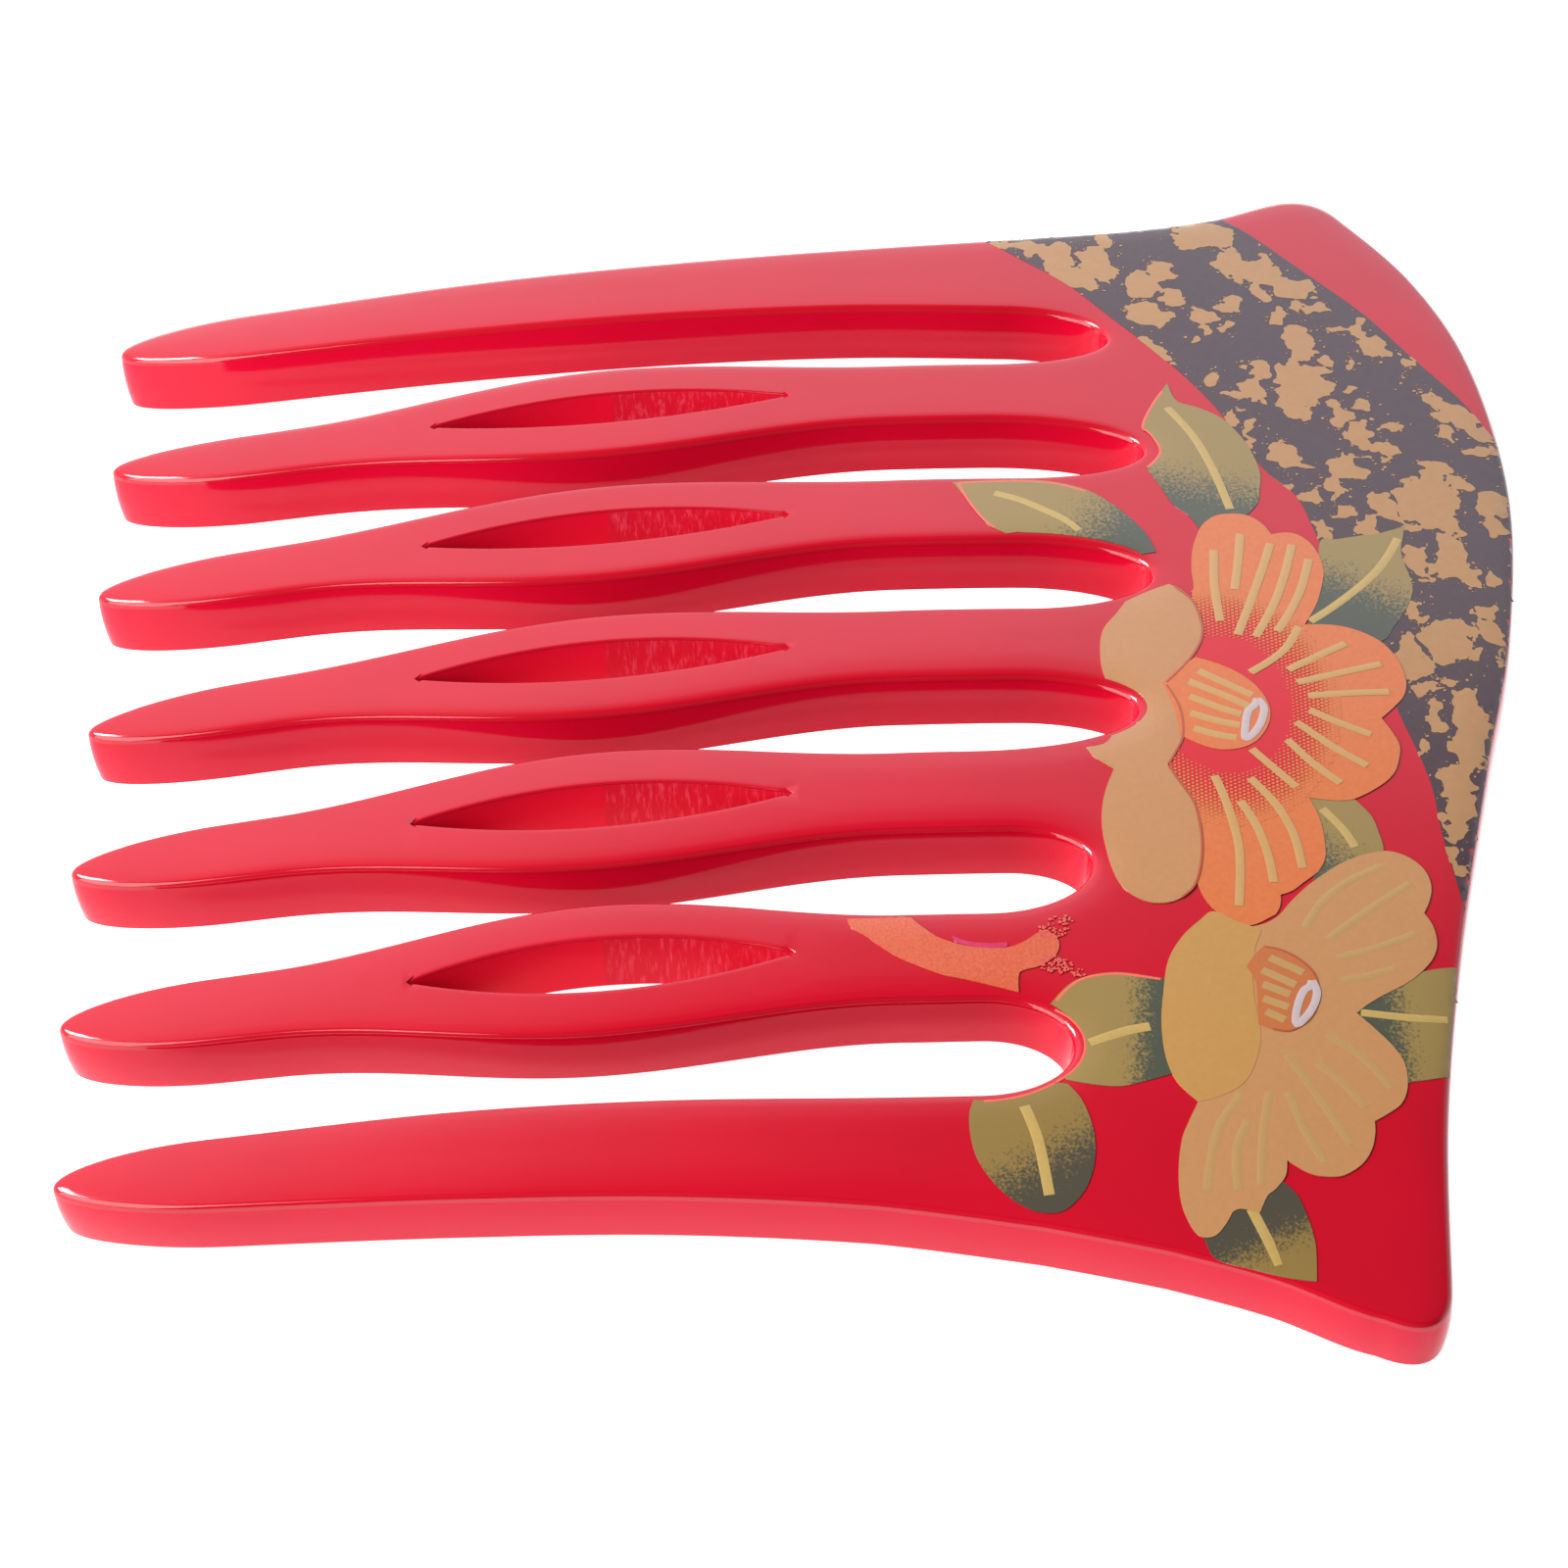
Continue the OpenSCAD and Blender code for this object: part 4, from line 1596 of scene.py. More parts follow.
LEAVES = [
    Leaf("leaf_over_second_gap", Shape((
        ((-21.8, 18), (-20.2, 18.4), (-19.6, 19.5), (-18.8, 20.6), (-17.5, 21.4), (-16, 22),
         (-14, 22.4), (-12.5, 22.3), (-11, 22), (-9, 20.5)),
        ((-8.6, 19.2), (-10, 18.6), (-11, 17.8), (-12.5, 17.2)),
        ((-14, 16.6), (-14.8, 17.1), (-15.7, 17.35), (-17, 16.95)),
        ((-17.6, 16.5), (-18.4, 16.65), (-20, 17.2)))),
        ((-19.5, 17.9), (-17, 19.1), (-14, 20), (-10.7, 20.7)), (-16.5, 20.5), (-8.8, 18.6),
        rims=(((-21, 17.7), (-20, 17.25), (-18.4, 16.7), (-17.6, 16.55)),
              ((-17.5, 16.6), (-17, 16.98), (-15.7, 17.38), (-14.8, 17.12), (-14.1, 16.65)))),
    Leaf("leaf_on_third_tooth", Shape((
        ((-7, 16.8), (-8.5, 16.3), (-10, 15.4), (-11, 14.6), (-12, 13.5), (-12.7, 12), (-12.95, 10.5),
         (-12.95, 9)),
        ((-12.8, 6.7), (-11.5, 7.3), (-10.5, 7.7), (-9.5, 8.2), (-8.9, 8.7), (-7.6, 11), (-6.6, 14)))),
        ((-11.75, 8.8), (-11.2, 10), (-10.3, 11.3), (-9.5, 12.3), (-8.7, 13)),
        (-11.2, 10.4), (-7.2, 16.8),
        rims=(((-11.9, 13.4), (-12.55, 12), (-12.8, 10.5), (-12.8, 9), (-12.7, 7)),
              ((-12.7, 7), (-11.5, 7.35), (-10.5, 7.75), (-9.5, 8.25), (-8.9, 8.75)))),
    Leaf("leaf_by_the_band", Shape((
        ((-10.05, 29.6), (-9.3, 29.5), (-8, 29.3), (-7, 29.4), (-6, 29.6), (-5, 29.7), (-4, 29.5),
         (-3, 29.1), (-2, 28.6), (-0.6, 27.6)),
        ((-0.9, 24.2), (-4, 24.4), (-6, 24.9), (-8.4, 25.2), (-8.6, 26), (-9, 27.2), (-9.3, 28.2)))),
        ((-9, 29.2), (-7.5, 28.6), (-6, 27.8), (-4.5, 26.7), (-3, 25.4), (-1.9, 24.3)),
        (-7.8, 28.4), (-2.2, 25.4)),
    Leaf("leaf_between_camellias", Shape((
        ((10.4, 25.5), (11, 25.9), (12, 26.6), (13, 26.9), (14.4, 27.1)),
        ((15.6, 26.6),),
        ((16.6, 23.6), (13, 23.4), (10.6, 23.2)))),
        ((11.7, 24.2), (12.5, 24.8), (13.3, 25.3), (14.2, 25.7)), (11.6, 26.2), (16.8, 21.5)),
    Leaf("leaf_at_the_crown", Shape((
        ((21.5, 31.6), (22, 29.2), (23, 27)),
        ((24.9, 24.8), (27, 26), (29.1, 27), (29.1, 27.9), (28.6, 29.7)),
        ((28.2, 30.8), (25, 31.5)))),
        ((25.1, 29.75), (25.15, 28), (24.95, 25.5)), (25, 29.2), (25.4, 25.6), 0.102),
    Leaf("leaf_at_the_near_side", Shape((
        ((34.6, 20.6), (35.6, 21.6), (36.3, 22.1), (37.5, 22.5), (39, 22.8)),
        ((41.1, 22.8), (40.9, 21.5), (40.4, 19.8), (39.9, 18.2), (39.3, 17.7), (37.6, 17.4),
         (36, 18.6)))),
        ((37, 19.8), (38.5, 20.4), (40.2, 21.05)), (40.6, 22.4), (36.8, 20.2), 0.102, broad=True,
        umber=True),
    Leaf("leaf_above_sixth_gap", Shape((
        ((23.2, 16.6), (22.8, 14.5), (22.75, 13.5), (23, 12.3), (23.6, 11.4)),
        ((24.8, 10.5), (27, 10.6)),
        ((29.3, 11.2), (29.6, 12.3), (29.75, 13.5), (29.6, 14.5)),
        ((28.8, 16.8), (26, 17.2)))),
        ((26.1, 15.3), (26.4, 14.1), (27.1, 12.4)), (26, 13.2), (26.2, 16.4),
        rims=(((23.15, 15.9), (22.9, 14.5), (22.85, 13.5), (23.1, 12.3), (23.7, 11.5), (24.5, 10.9)),
              ((25, 10.8), (25.6, 11.55), (26.4, 12.05), (27.2, 12.2), (28, 12.05), (28.8, 11.55),
               (29.45, 10.75))),
        broad=True),
    Leaf("leaf_on_last_tooth", Shape((
        ((29.6, 11.3), (30.5, 11.9), (31.7, 12.3), (33, 12.5), (34.5, 12.4), (35.8, 12), (36.8, 11.3),
         (37.2, 10.6), (37.1, 9.6), (36.5, 8.6), (35.5, 7.7), (34, 6.9), (32.5, 6.6), (31.2, 6.6)),
        ((30.2, 6.9), (29.6, 8.5), (29.4, 10.2)))),
        ((30.9, 9.2), (33, 9.8), (36.2, 10.25)), (31.6, 8), (36.8, 11.4),
        rims=(((29.5, 10.7), (29.95, 9.9), (30.3, 9), (30.5, 8), (30.55, 7.3)),), broad=True,
        umber=True),
]

FIRST_OUTER = Shape((
    ((-1.6, 24), (-3, 24.6), (-4.5, 25), (-6, 25.2), (-7.3, 25), (-8.2, 24.6), (-8.8, 24),
     (-8.9, 23.4)),
    ((-8.7, 22.7), (-9.5, 22.3), (-10.1, 21.7), (-10.3, 21), (-10.1, 20), (-9.4, 19.3), (-8.4, 18.9),
     (-7, 18.6), (-5.5, 18.5), (-4.3, 18.55), (-3.2, 18.4)),
    ((-1, 18.2), (4, 16.2)),
    ((9.5, 16.2), (14.5, 17.7), (17, 17.9), (18.5, 18.5), (19.5, 19.6), (19.6, 20.5)),
    ((18.9, 21.6), (18.5, 21.8), (18, 21.9)),
    ((17.6, 21.9), (17.3, 22.5), (16.8, 23)),
    ((16, 23.8), (15, 24.2), (13.5, 24.2), (12.2, 24)),
    ((11, 23.6), (11.1, 25), (10.9, 25.9), (9.9, 27.2), (9, 27.9), (8, 28.2), (7, 28.3), (6.1, 28)),
    ((5.1, 27.5), (4.2, 28.2), (3.4, 28.7), (2.5, 28.9), (1.5, 28.8), (0.5, 28.5), (-0.5, 27.9),
     (-1.2, 27), (-1.6, 26), (-1.7, 25)),
))
FIRST_LOBES = Shape((
    ((-4.4, 17.3), (-4, 17.9), (-3.2, 18.4), (-2.2, 18.7), (-1, 18.85), (0, 18.7), (1, 18.3),
     (2, 17.7)),
    ((3.2, 16.8), (4, 17.2), (5, 17.5), (6.2, 17.6), (7.2, 17.5), (8.2, 17.1)),
    ((9, 16.7), (10, 17.2), (11.5, 17.9), (13, 18.15), (14.5, 18.2), (16, 18.05), (17.2, 17.7),
     (18, 17), (18.3, 16.1), (18.1, 15.2), (17.3, 14.3), (16, 13.8), (14, 13.45), (12.5, 13.4),
     (11, 13.6)),
    ((9.3, 14.1), (8.5, 13.2)),
    ((7.8, 12.8), (7.3, 13.9), (5, 14.5)),
    ((2.4, 13.8), (1.5, 13.7), (0, 13.75), (-1, 14), (-2, 14.6)),
    ((-3, 15.1), (-3.8, 16.2)),
))
FIRST_CUP = Shape((
    ((1.2, 18.4), (1.6, 19.4), (2.2, 20.4), (3, 21.2), (4, 21.75), (5, 21.95), (6, 21.8), (7, 21.3),
     (7.6, 20.6), (7.85, 19.7), (7.75, 18.9), (7.4, 18.2)),
    ((6.9, 17.4), (5, 17.2)),
    ((3.2, 16.7), (2.2, 17.4)),
))
FIRST_STROKES = [
    ((-6.8, 24.5), (-4.5, 24), (-2.5, 23.3), (-1, 22.6)),
    ((-7.9, 23.7), (-5.5, 23.2), (-3, 22.5), (-0.5, 21.5)),
    ((-7.9, 22.6), (-5.5, 22), (-3, 21.3), (-0.6, 20.6)),
    ((-8.6, 21.1), (-6.5, 20.9), (-4.1, 20.6)), ((-7.2, 19.7), (-4.5, 19.6), (-1.6, 19.75)),
    ((-1.4, 23.7), (0.2, 23), (1.3, 22.1), (2.2, 21.1)), ((-0.3, 26), (0.7, 24.6), (1.9, 23)),
    ((1.1, 27.7), (1.9, 25.7), (2.8, 23.4)), ((3.15, 28), (3.4, 26), (3.75, 23.9)),
    ((6.35, 26.9), (5.7, 25.5), (4.8, 23.9)), ((8.6, 26.6), (7.4, 25), (5.7, 23.2)),
    ((9.9, 25.2), (8.6, 23.9), (7, 22.7)), ((10.3, 23), (9.1, 22), (7.75, 20.9)),
    ((9.8, 20.75), (11.5, 21.9), (13.5, 22.7), (15.8, 23.05)),
    ((11.4, 20.2), (13, 20.9), (15, 21.4), (16.8, 21.6)),
    ((9.7, 19), (11.5, 19.5), (14, 19.95), (16, 20), (18.4, 19.85)),
]
FIRST_STAMENS = [
    ((3.9, 21.1), (3, 19.7), (2.2, 18.5)), ((4.7, 20.9), (3.9, 19.6), (3, 18)),
    ((5.3, 20.5), (4.8, 19.3), (4.1, 18)), ((6.1, 20.4), (5.8, 19.2), (5.3, 18)),
    ((7, 20.2), (6.8, 19.2), (6.4, 18.1)),
]
FIRST_RING = ((4.15, 21.35), (4.7, 21.65), (5.5, 21.55), (6.2, 21.3), (6.8, 20.95), (7.05, 20.62),
              (6.3, 20.65), (5.5, 20.75), (4.95, 20.9), (4.7, 21.15), (4.15, 21.35))

SECOND_UPPER = Shape((
    ((18.4, 28.9), (17.6, 29.2), (16.6, 29.35), (15.6, 29.1), (14.8, 28.4), (14.4, 27.4), (14.6, 26.4),
     (15.2, 25.2), (16, 24.2), (17, 23.2), (18, 22.4), (19, 21.7), (19.6, 20.8)),
    ((20, 19), (25, 18.4)),
    ((30.3, 18.2),),
    ((30.7, 17.45), (31.8, 17), (33, 16.6), (34.8, 16.4), (36.5, 16.45), (37.8, 16.8), (38.6, 17.3),
     (38.6, 18), (38, 18.5)),
    ((37.2, 18.9), (37, 19.3)),
    ((37.2, 20.2), (36.2, 20.6), (35.8, 21), (35, 21.5)),
    ((34.1, 21.6), (34.8, 22.6), (35, 23.4), (34.9, 24.3), (34.2, 25.2), (33.3, 25.7), (32.3, 25.9)),
    ((31.6, 25.9), (31.1, 26.6), (30.4, 27.3), (29.3, 27.6), (28, 27.5), (27, 27), (26, 26.2)),
    ((25, 25.3), (24.4, 25.9), (23.7, 26.8), (23, 27.8), (22.2, 28.6), (21.3, 29.2), (20.3, 29.45),
     (19.2, 29.3)),
))
SECOND_LOWER = Shape((
    ((30.7, 17.5), (29.5, 16.5), (28, 16), (26, 15.85), (24, 16), (22, 16.3), (20.5, 17), (19.4, 17.9),
     (18.8, 18.6), (19.4, 19.7)),
    ((19.9, 20.9), (21.5, 20.45), (24, 20.35), (26.5, 20.6), (28.5, 20.2), (29.6, 19.6), (30.3, 18.6)),
))
SECOND_CUP = Shape((
    ((21, 20.9), (21.2, 21.8), (21.8, 22.7), (22.6, 23.3), (23.6, 23.5), (24.6, 23.4), (25.6, 22.9),
     (26.3, 22), (26.2, 21.2)),
    ((25.9, 20.5), (24.5, 20.5), (23.2, 20.45)),
    ((22.3, 20.05), (21.5, 20.5)),
))
SECOND_STROKES = [
    ((15.4, 27), (16.6, 25.2), (18, 23.9), (19.7, 23)),
    ((16.5, 28.3), (18, 26.6), (19.5, 25), (20.4, 24.1)),
    ((19.8, 28.4), (20.8, 26.5), (21.6, 24.5)), ((22.1, 27.3), (22.7, 25.8), (23, 24.6)),
    ((26.4, 23.8), (27.8, 25.5), (29.6, 26.8)), ((28.2, 23.2), (29.3, 24.4), (30.8, 25.5)),
    ((27.7, 21.8), (30.2, 23.2), (33.1, 24.7)), ((30, 21.8), (32, 22.4), (34.2, 23.4)),
    ((30, 20.9), (32.5, 20.5), (35.6, 20.3)), ((31.8, 19.8), (33.5, 19.2), (35.9, 19.2)),
    ((30.2, 19.5), (32.5, 18.3), (36, 17.7)),
]
SECOND_STAMENS = [
    ((22.6, 22.8), (21.7, 21.2)), ((23.4, 22.4), (22.5, 20.8)), ((24, 22.1), (23.4, 20.8)),
    ((24.8, 22), (24.3, 20.8)), ((25.6, 21.8), (25.1, 20.9)),
]
SECOND_RING = ((23.1, 23.2), (23.7, 23.4), (24.3, 23.33), (24.9, 23.1), (25.4, 22.8), (25.9, 22.35),
               (25.4, 22.32), (24.8, 22.42), (24.2, 22.58), (23.7, 22.8), (23.45, 23.1), (23.1, 23.2))
PART_PETAL = Shape((
    ((19, 1), (19, 2.5)),
    ((18.95, 4), (19.6, 4.5), (20.3, 5.2), (20.7, 5.9), (21, 6.7), (21.15, 7.6), (21.15, 8.6),
     (20.8, 9.4), (20.3, 10)),
    ((20, 10.5), (20.8, 11.1), (21.7, 10.9), (22.3, 10.2)),
    ((22.5, 9.6), (22.7, 9.2), (23.2, 9.1)),
    ((23.9, 9.1), (23.6, 8.2), (23.3, 7.3), (23, 6.3), (22.8, 5.6), (22.2, 4.4), (21.6, 3.4),
     (20.9, 2.6), (20.2, 1.9), (19.6, 1.2)),
))
PART_CRESCENT = Shape((
    ((20.3, 6), (20.65, 6.6), (20.8, 7.3), (20.85, 8)),
    ((20.8, 8.6), (21.1, 8.6), (21.15, 7.8), (21.05, 7), (20.75, 6.2)),
))
# The thin lines along the sand petals' upper edges and round the second cup
OUTLINES = [
    ((-4.2, 17.6), (-3.2, 18.4), (-2.2, 18.7), (-1, 18.85), (0, 18.7), (1, 18.3), (2, 17.7),
     (3.1, 16.9)),
    ((3.3, 16.9), (4, 17.2), (5, 17.5), (6.2, 17.6), (7.2, 17.5), (8.2, 17.1), (8.9, 16.8)),
    ((9.1, 16.8), (10, 17.2), (11.5, 17.9), (13, 18.15), (14.5, 18.2), (16, 18.05), (17.2, 17.7),
     (17.9, 17.1)),
    ((21, 20.95), (21.2, 21.8), (21.8, 22.7), (22.6, 23.3), (23.6, 23.5), (24.6, 23.4), (25.6, 22.9),
     (26.25, 22), (26.15, 21.2)),
]


@dataclass
class Camellia:
    """A printed camellia: solid petals that break up into dots towards the flower's centre."""

    name: str
    centre: Point = (4.5, 19.7)
    # How much wider than high the bright middle is
    spread: float = 1.5
    # How far from the centre the solid ink begins and the last dots lie, in mm
    solid: float = 5.6
    bare: float = 3.3
    # Dots lie in rows this far apart, run on this far under the solid ink and end before an edge
    pitch: float = 0.24
    lap: float = 0.15
    margin: float = 0.6
    # The smallest dot's size and how much the largest is above it, as shares of the pitch
    least: float = 0.42
    growth: float = 0.75
    dot_turn: float = 0.3
    corners: int = 24

    def far(self, points: np.ndarray) -> np.ndarray:
        """Gives how far points lie from the flower's centre, less far across the teeth."""
        rel = points - np.array(self.centre)
        return np.hypot(rel[:, 0] / self.spread, rel[:, 1])

    def middle(self, radius: float) -> Shape:
        """Draws the oval round the flower's centre at a distance."""
        turns = [2 * math.pi * k / self.corners for k in range(self.corners)]
        return Shape((tuple((self.centre[0] + radius * self.spread * math.cos(t),
                             self.centre[1] + radius * math.sin(t)) for t in turns),), True)

    def dots(self, petals: Shape, finish: bpy.types.Material) -> bpy.types.Object:
        """Sets the screen's dots, which shrink towards the centre.

        Args:
            petals: the shape that they stay inside.
            finish: the petals' ink.

        Returns:
            The piece.
        """
        loop = petals.loop()
        spots = grid(loop.min(0), loop.max(0), self.pitch)
        far = self.far(spots)
        keep = (far > self.bare) & (far < self.solid + self.lap) & inside(spots, loop)
        keep[keep] = PLAN.gap(spots[keep]) > self.margin
        spots, far = spots[keep], far[keep]
        share = np.clip((far - self.bare) / (self.solid - self.bare), 0, 1)
        size = self.least + self.growth * share
        marks = {"size": size, "slim": np.ones(len(size)),
                 "turn": np.full(len(size), self.dot_turn)}
        return Dots(self.pitch / 2).scatter(self.name + "_dots", spots, marks, Layer.PETAL, finish)


@dataclass
class WornArms:
    """The loose petal's two arms, worn away to dots that thin out towards their ends."""

    shapes: tuple[Shape, ...] = (
        Shape((((20.6, 10.2), (20.5, 11.2), (19.8, 11.8), (19.1, 11.6), (19.3, 10.9),
                (19.9, 10.2)),)),
        Shape((((21.5, 10.6), (21.8, 11.3), (22.4, 12.0), (22.95, 12.3), (22.9, 11.4),
                (22.4, 10.1)),)),
    )
    # The corners of the grid that the dots start from, and where the arms leave the petal
    low: Point = (19.0, 9.6)
    high: Point = (23.2, 12.5)
    root: Point = (21.3, 9.9)
    pitch: float = 0.18
    radius: float = 0.085
    # The share of the dots that is lost for each mm from the root, past the first
    loss: float = 0.16
    jitter: float = 0.04
    margin: float = 0.5
    sizes: Point = (0.6, 1.3)
    slims: Point = (0.6, 1)
    seed: int = 11

    def build(self, finish: bpy.types.Material) -> bpy.types.Object:
        """Sets the dots.

        Args:
            finish: their ink.

        Returns:
            The piece.
        """
        rng = np.random.default_rng(self.seed)
        spots = grid(self.low, self.high, self.pitch)
        far = np.linalg.norm(spots - np.array(self.root), axis=1)
        keep = rng.random(len(spots)) > self.loss * (far - 1)
        keep &= np.any([inside(spots, shape.loop()) for shape in self.shapes], axis=0)
        keep &= PLAN.gap(spots) > self.margin
        count = int(keep.sum())
        marks = {"size": rng.uniform(*self.sizes, count), "slim": rng.uniform(*self.slims, count),
                 "turn": rng.uniform(0, math.tau, count)}
        spots = spots[keep] + rng.normal(0, self.jitter, (count, 2))
        return Dots(self.radius).scatter("loose_petal_dots", spots, marks, Layer.PETAL, finish)


@dataclass
class Bloom:
    """Everything that is printed on the comb."""

    brush: Brush = field(default_factory=Brush)
    broad_brush: Brush = field(default_factory=lambda: Brush(half_width=0.26))
    ring_brush: Brush = field(default_factory=lambda: Brush(half_width=0.2))
    liner: Brush = field(default_factory=lambda: Brush(half_width=0.07, half_height=0.006))

    def band(self) -> None:
        """Prints the band and lays the gold leaf on it."""
        ink = ScreenInk("screen ink, warm black", "463335", "38272a", 0.5)
        Film("band", Layer.BAND, [BAND], 0.102).build(ink.material())
        leaf, gold = GoldLeaf(FLAKES, BAND), TornGold().material()
        leaf.build(gold)
        leaf.specks(gold)

    def leaves(self) -> None:
        """Prints the leaves and paints their veins."""
        slate = SprayedInk("sprayed ink, olive to slate", "8a7342", "474a3c").material()
        umber = SprayedInk("sprayed ink, olive to umber", "826a3a", "484236").material()
        for leaf in LEAVES:
            leaf.build(umber if leaf.umber else slate)
        paint = ScreenInk("brushed paint, straw", "a98d4f", "b89a5c", 0.3).material()
        fine = [leaf.vein for leaf in LEAVES if not leaf.broad]
        self.brush.paint("leaf_veins", fine, Layer.LEAF, paint)
        broad = [leaf.vein for leaf in LEAVES if leaf.broad]
        self.broad_brush.paint("leaf_broad_veins", broad, Layer.LEAF, paint)
        coral = ScreenInk("screen ink, coral ground", "d8674e", "c85a44").material()
        rims = [rim for leaf in LEAVES for rim in leaf.rims]
        self.liner.paint("leaf_rims", rims, Layer.LEAF, coral)

    def first(self) -> None:
        """Prints the orange camellia."""
        flower = Camellia("first_camellia")
        orange = ScreenInk("screen ink, orange", "be6434", "cb7442", 0.28).material()
        red = ScreenInk("screen ink, bright red", "c01a24", "b81620")
        tan = ScreenInk("screen ink, tan", "af7d52", "a87448")
        Film("first_camellia_middle", Layer.BLOOM, [FIRST_OUTER]).build(red.material())
        Film("first_camellia_petals", Layer.PETAL, [FIRST_OUTER],
             cut=[flower.middle(flower.solid)]).build(orange)
        flower.dots(FIRST_OUTER, orange)
        Film("first_camellia_lobes", Layer.LOBE, [FIRST_LOBES], 0.5).build(tan.material())
        Film("first_camellia_cup", Layer.CUP, [FIRST_CUP]).build(orange)
        straw = ScreenInk("brushed paint, sand", "b68c56", "ae844e", 0.3).material()
        self.brush.paint("first_camellia_strokes", FIRST_STROKES, Layer.LOBE, straw)
        self.brush.paint("first_camellia_stamens", FIRST_STAMENS, Layer.CUP, straw)
        white = ScreenInk("brushed paint, lilac white", "b6a4a3", "a79693", 0.3).material()
        self.ring_brush.paint("first_camellia_crown", [FIRST_RING], Layer.STROKE, white)
        self.ring_brush.paint("second_camellia_crown", [SECOND_RING], Layer.STROKE, white)
        brown = ScreenInk("screen ink, rust", "a4502f", "9a4a34").material()
        self.liner.paint("petal_outlines", OUTLINES, Layer.CUP, brown)

    def second(self) -> None:
        """Prints the sand-coloured camellia and the loose petal below it."""
        sand = ScreenInk("screen ink, sand", "b07f52", "a87648")
        gold = ScreenInk("screen ink, ochre", "af8349", "a67a40")
        cup = ScreenInk("screen ink, burnt orange", "b0663a", "a85e34")
        khaki = ScreenInk("brushed paint, khaki", "ab8653", "a27e4c", 0.3).material()
        Film("second_camellia_petals", Layer.PETAL, [SECOND_UPPER], 0.3).build(sand.material())
        Film("second_camellia_lobe", Layer.LOBE, [SECOND_LOWER]).build(gold.material())
        Film("second_camellia_cup", Layer.CUP, [SECOND_CUP]).build(cup.material())
        self.brush.paint("second_camellia_strokes", SECOND_STROKES, Layer.PETAL, khaki)
        self.brush.paint("second_camellia_stamens", SECOND_STAMENS, Layer.CUP, khaki)
        coral = ScreenInk("screen ink, coral", "b84c32", "cc6a4a", 0.16, 0.7).material()
        Film("loose_petal", Layer.PETAL, [PART_PETAL]).build(coral)
        WornArms().build(ScreenInk("screen ink, pale coral", "c85048", "d06054").material())
        rose = ScreenInk("screen ink, rose", "b5264d", "c04a68").material()
        Film("loose_petal_fold", Layer.BLOOM, [PART_CRESCENT]).build(rose)

    def build(self) -> None:
        """Prints the whole crown, lowest ink first."""
        self.band()
        self.leaves()
        self.first()
        self.second()


# The studio

@dataclass(frozen=True)
class SoftBox:
    """A square light that faces the comb: its middle's place and its side in metres."""

    name: str
    place: Place
    side: float
    watts: float

    def build(self) -> None:
        """Hangs the light."""
        lamp = bpy.data.lights.new(self.name, "AREA")
        lamp.size = self.side
        lamp.energy = self.watts
        made = bpy.data.objects.new(self.name, lamp)
        made.location = self.place
        made.rotation_euler = (-Vector(self.place)).to_track_quat("-Z", "Y").to_euler()
        bpy.context.scene.collection.objects.link(made)


@dataclass(frozen=True)
class LightTent:
    """A tent of white cloth as the world: bright round the sides and dark above the crown."""

    # The cloth is a little blue
    tint: tuple[float, ...] = (0.96, 0.98, 1.12, 1)
    bright: float = 1.5
    dark: float = 0.12
    # The way to the middle of the dark ceiling, and how near to it the change begins and ends
    ceiling: Place = (0.0, 0.34, 0.94)
    ceiling_from: float = 0.57
    ceiling_to: float = 0.9
    # The side behind the camera is dark, so the rounded edges end in a dark line
    open_from: float = -0.05
    open_to: float = 0.4
    # The cloth is dimmer low down
    low: float = 0.35
    high: float = 0.66
    low_share: float = 0.78

    def build(self) -> None:
        """Makes the world's nodes."""
        world = bpy.data.worlds.new("light tent")
        world.use_nodes = True
        bpy.context.scene.world = world
        tree = world.node_tree
        ground = tree.nodes["Background"]
        ground.inputs["Color"].default_value = self.tint
        way = add(tree, "ShaderNodeTexCoord").outputs["Generated"]
        share = add(tree, "ShaderNodeVectorMath", {"operation": "DOT_PRODUCT", 1: self.ceiling},
                    {0: way})
        glow = add(tree, "ShaderNodeMapRange",
                   {"interpolation_type": "SMOOTHSTEP", "From Min": self.ceiling_from,
                    "From Max": self.ceiling_to, "To Min": self.bright, "To Max": self.dark},
                   {"Value": share.outputs["Value"]})
        parts = add(tree, "ShaderNodeSeparateXYZ", links={0: way}).outputs
        height = add(tree, "ShaderNodeMapRange", {"From Min": self.low, "From Max": self.high,
                                                  "To Min": self.low_share}, {"Value": parts["Z"]})
        side = add(tree, "ShaderNodeMapRange",
                   {"interpolation_type": "SMOOTHSTEP", "From Min": self.open_from,
                    "From Max": self.open_to, "To Min": 1.0, "To Max": self.dark},
                   {"Value": parts["X"]})
        both = add(tree, "ShaderNodeMath", {"operation": "MULTIPLY"},
                   {0: glow.outputs[0], 1: side.outputs[0]})
        whole = add(tree, "ShaderNodeMath", {"operation": "MULTIPLY"},
                    {0: both.outputs[0], 1: height.outputs[0]})
        tree.links.new(whole.outputs[0], ground.inputs["Strength"])


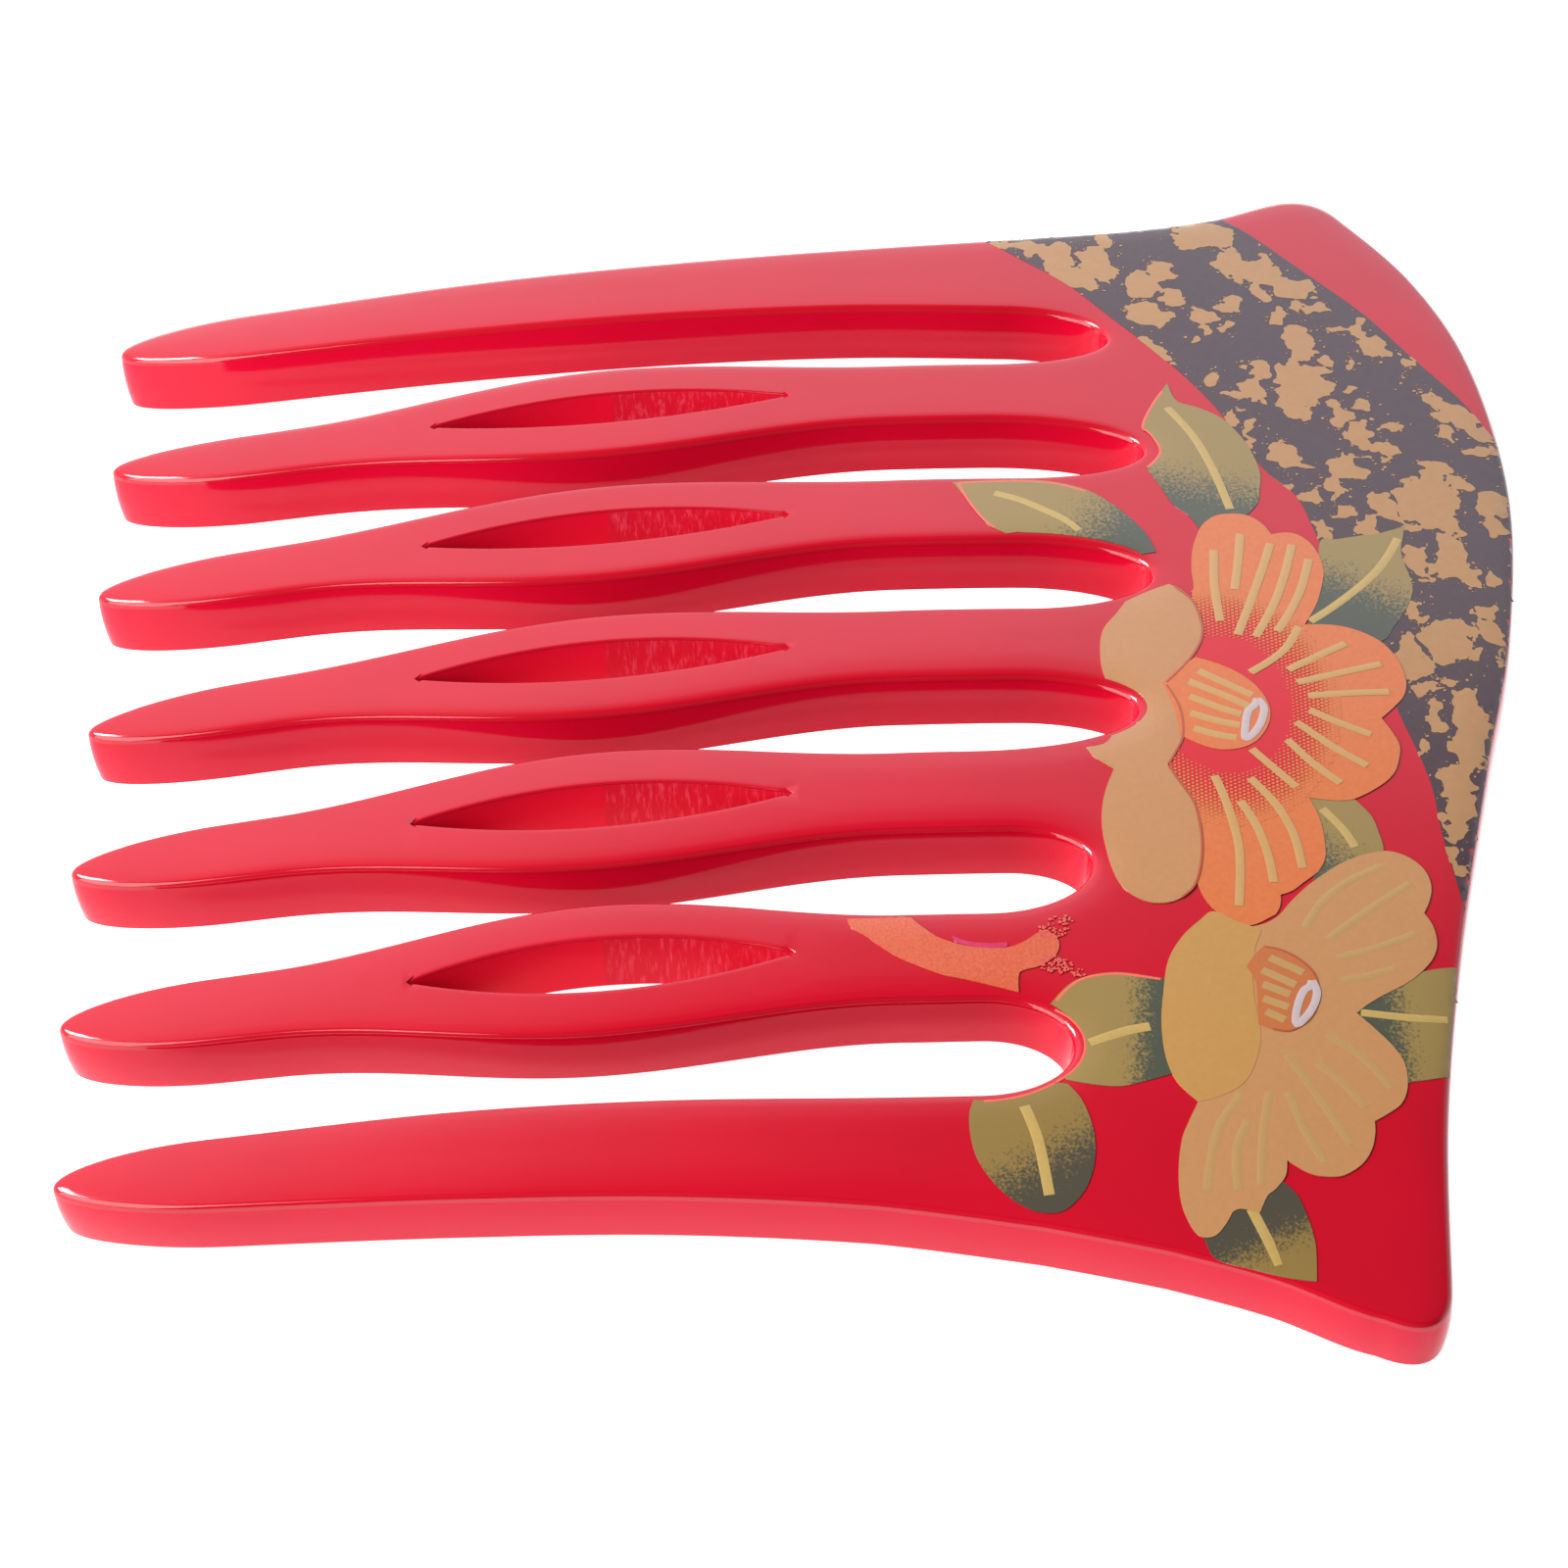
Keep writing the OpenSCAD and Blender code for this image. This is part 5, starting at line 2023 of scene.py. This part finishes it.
@dataclass
class Studio:
    """A white table in a light tent with two soft lights."""

    half_side: float = 3.0
    grey: float = 0.7
    roughness: float = 0.9
    glow: float = 0.9
    lights: tuple[SoftBox, ...] = (
        SoftBox("key", (-0.12, -0.72, 0.7), 0.35, 12),
        SoftBox("side fill", (0.4, -0.6, 0.35), 0.6, 6),
    )

    def build(self) -> None:
        """Makes the floor, the lights and the tent's glow."""
        ends = (-self.half_side, self.half_side)
        mesh = bpy.data.meshes.new("floor")
        mesh.from_pydata([(x, y, 0) for x in ends for y in ends], [], [(0, 2, 3, 1)])
        floor = bpy.data.objects.new("floor", mesh)
        bpy.context.scene.collection.objects.link(floor)
        # The table glows, so it stays white as in the photograph
        made = blank("white table, matt", {"Base Color": (self.grey, self.grey, self.grey, 1),
                                           "Roughness": self.roughness,
                                           "Emission Color": (1, 1, 1, 1),
                                           "Emission Strength": self.glow})[0]
        mesh.materials.append(made)
        LightTent().build()
        for light in self.lights:
            light.build()


@dataclass
class PhotoCamera:
    """The camera as it stood for the photograph: a long lens above the near edge."""

    # Angles in degrees, the aimed point of the plan and the way to it in mm
    azimuth: float = 2.373
    elevation: float = 41.789
    roll: float = 4.011
    aim: Point = (8.407, -2.0)
    distance: float = 404.881
    lens: float = 189.65
    sensor: float = 36.0

    def build(self) -> None:
        """Makes the camera and gives it to the scene."""
        az, el, roll = (math.radians(a) for a in (self.azimuth, self.elevation, self.roll))
        back = Vector((math.cos(el) * math.cos(az), math.cos(el) * math.sin(az), math.sin(el)))
        right = (-back).cross(Vector((0, 0, 1))).normalized()
        down = (-back).cross(right)
        right, down = (math.cos(roll) * right + math.sin(roll) * down,
                       -math.sin(roll) * right + math.cos(roll) * down)
        made = bpy.data.cameras.new("photo")
        made.lens = self.lens
        made.sensor_width = self.sensor
        camera = bpy.data.objects.new("photo", made)
        turn = Matrix((right, -down, back)).transposed()
        spot = Vector((*self.aim, 0)) + self.distance * back
        shift = Vector((-SHEET.mid_x, -SHEET.mid_y, SHEET.rest_z))
        camera.matrix_world = Matrix.Translation((spot + shift) * MM) @ turn.to_4x4()
        bpy.context.scene.collection.objects.link(camera)
        bpy.context.scene.camera = camera


def main() -> None:
    """Builds the comb, its print and the studio, in order."""
    logging.basicConfig(level=logging.INFO, format="%(message)s")
    # The walls' red is painted lighter than the faces' red: painted light for the glow that the sheet
    # carries to its walls
    edge = CastAcrylic("cast acrylic, buffed edge, painted lighter", "c2082a", "b60627", 0.09, gloss=0.22)
    CombBody().build(CastAcrylic().material(), edge.material(), SawnAcrylic().material())
    Bloom().build()
    Studio().build()
    PhotoCamera().build()
    bpy.context.scene.view_settings.view_transform = "Standard"


if __name__ == "__main__":
    main()
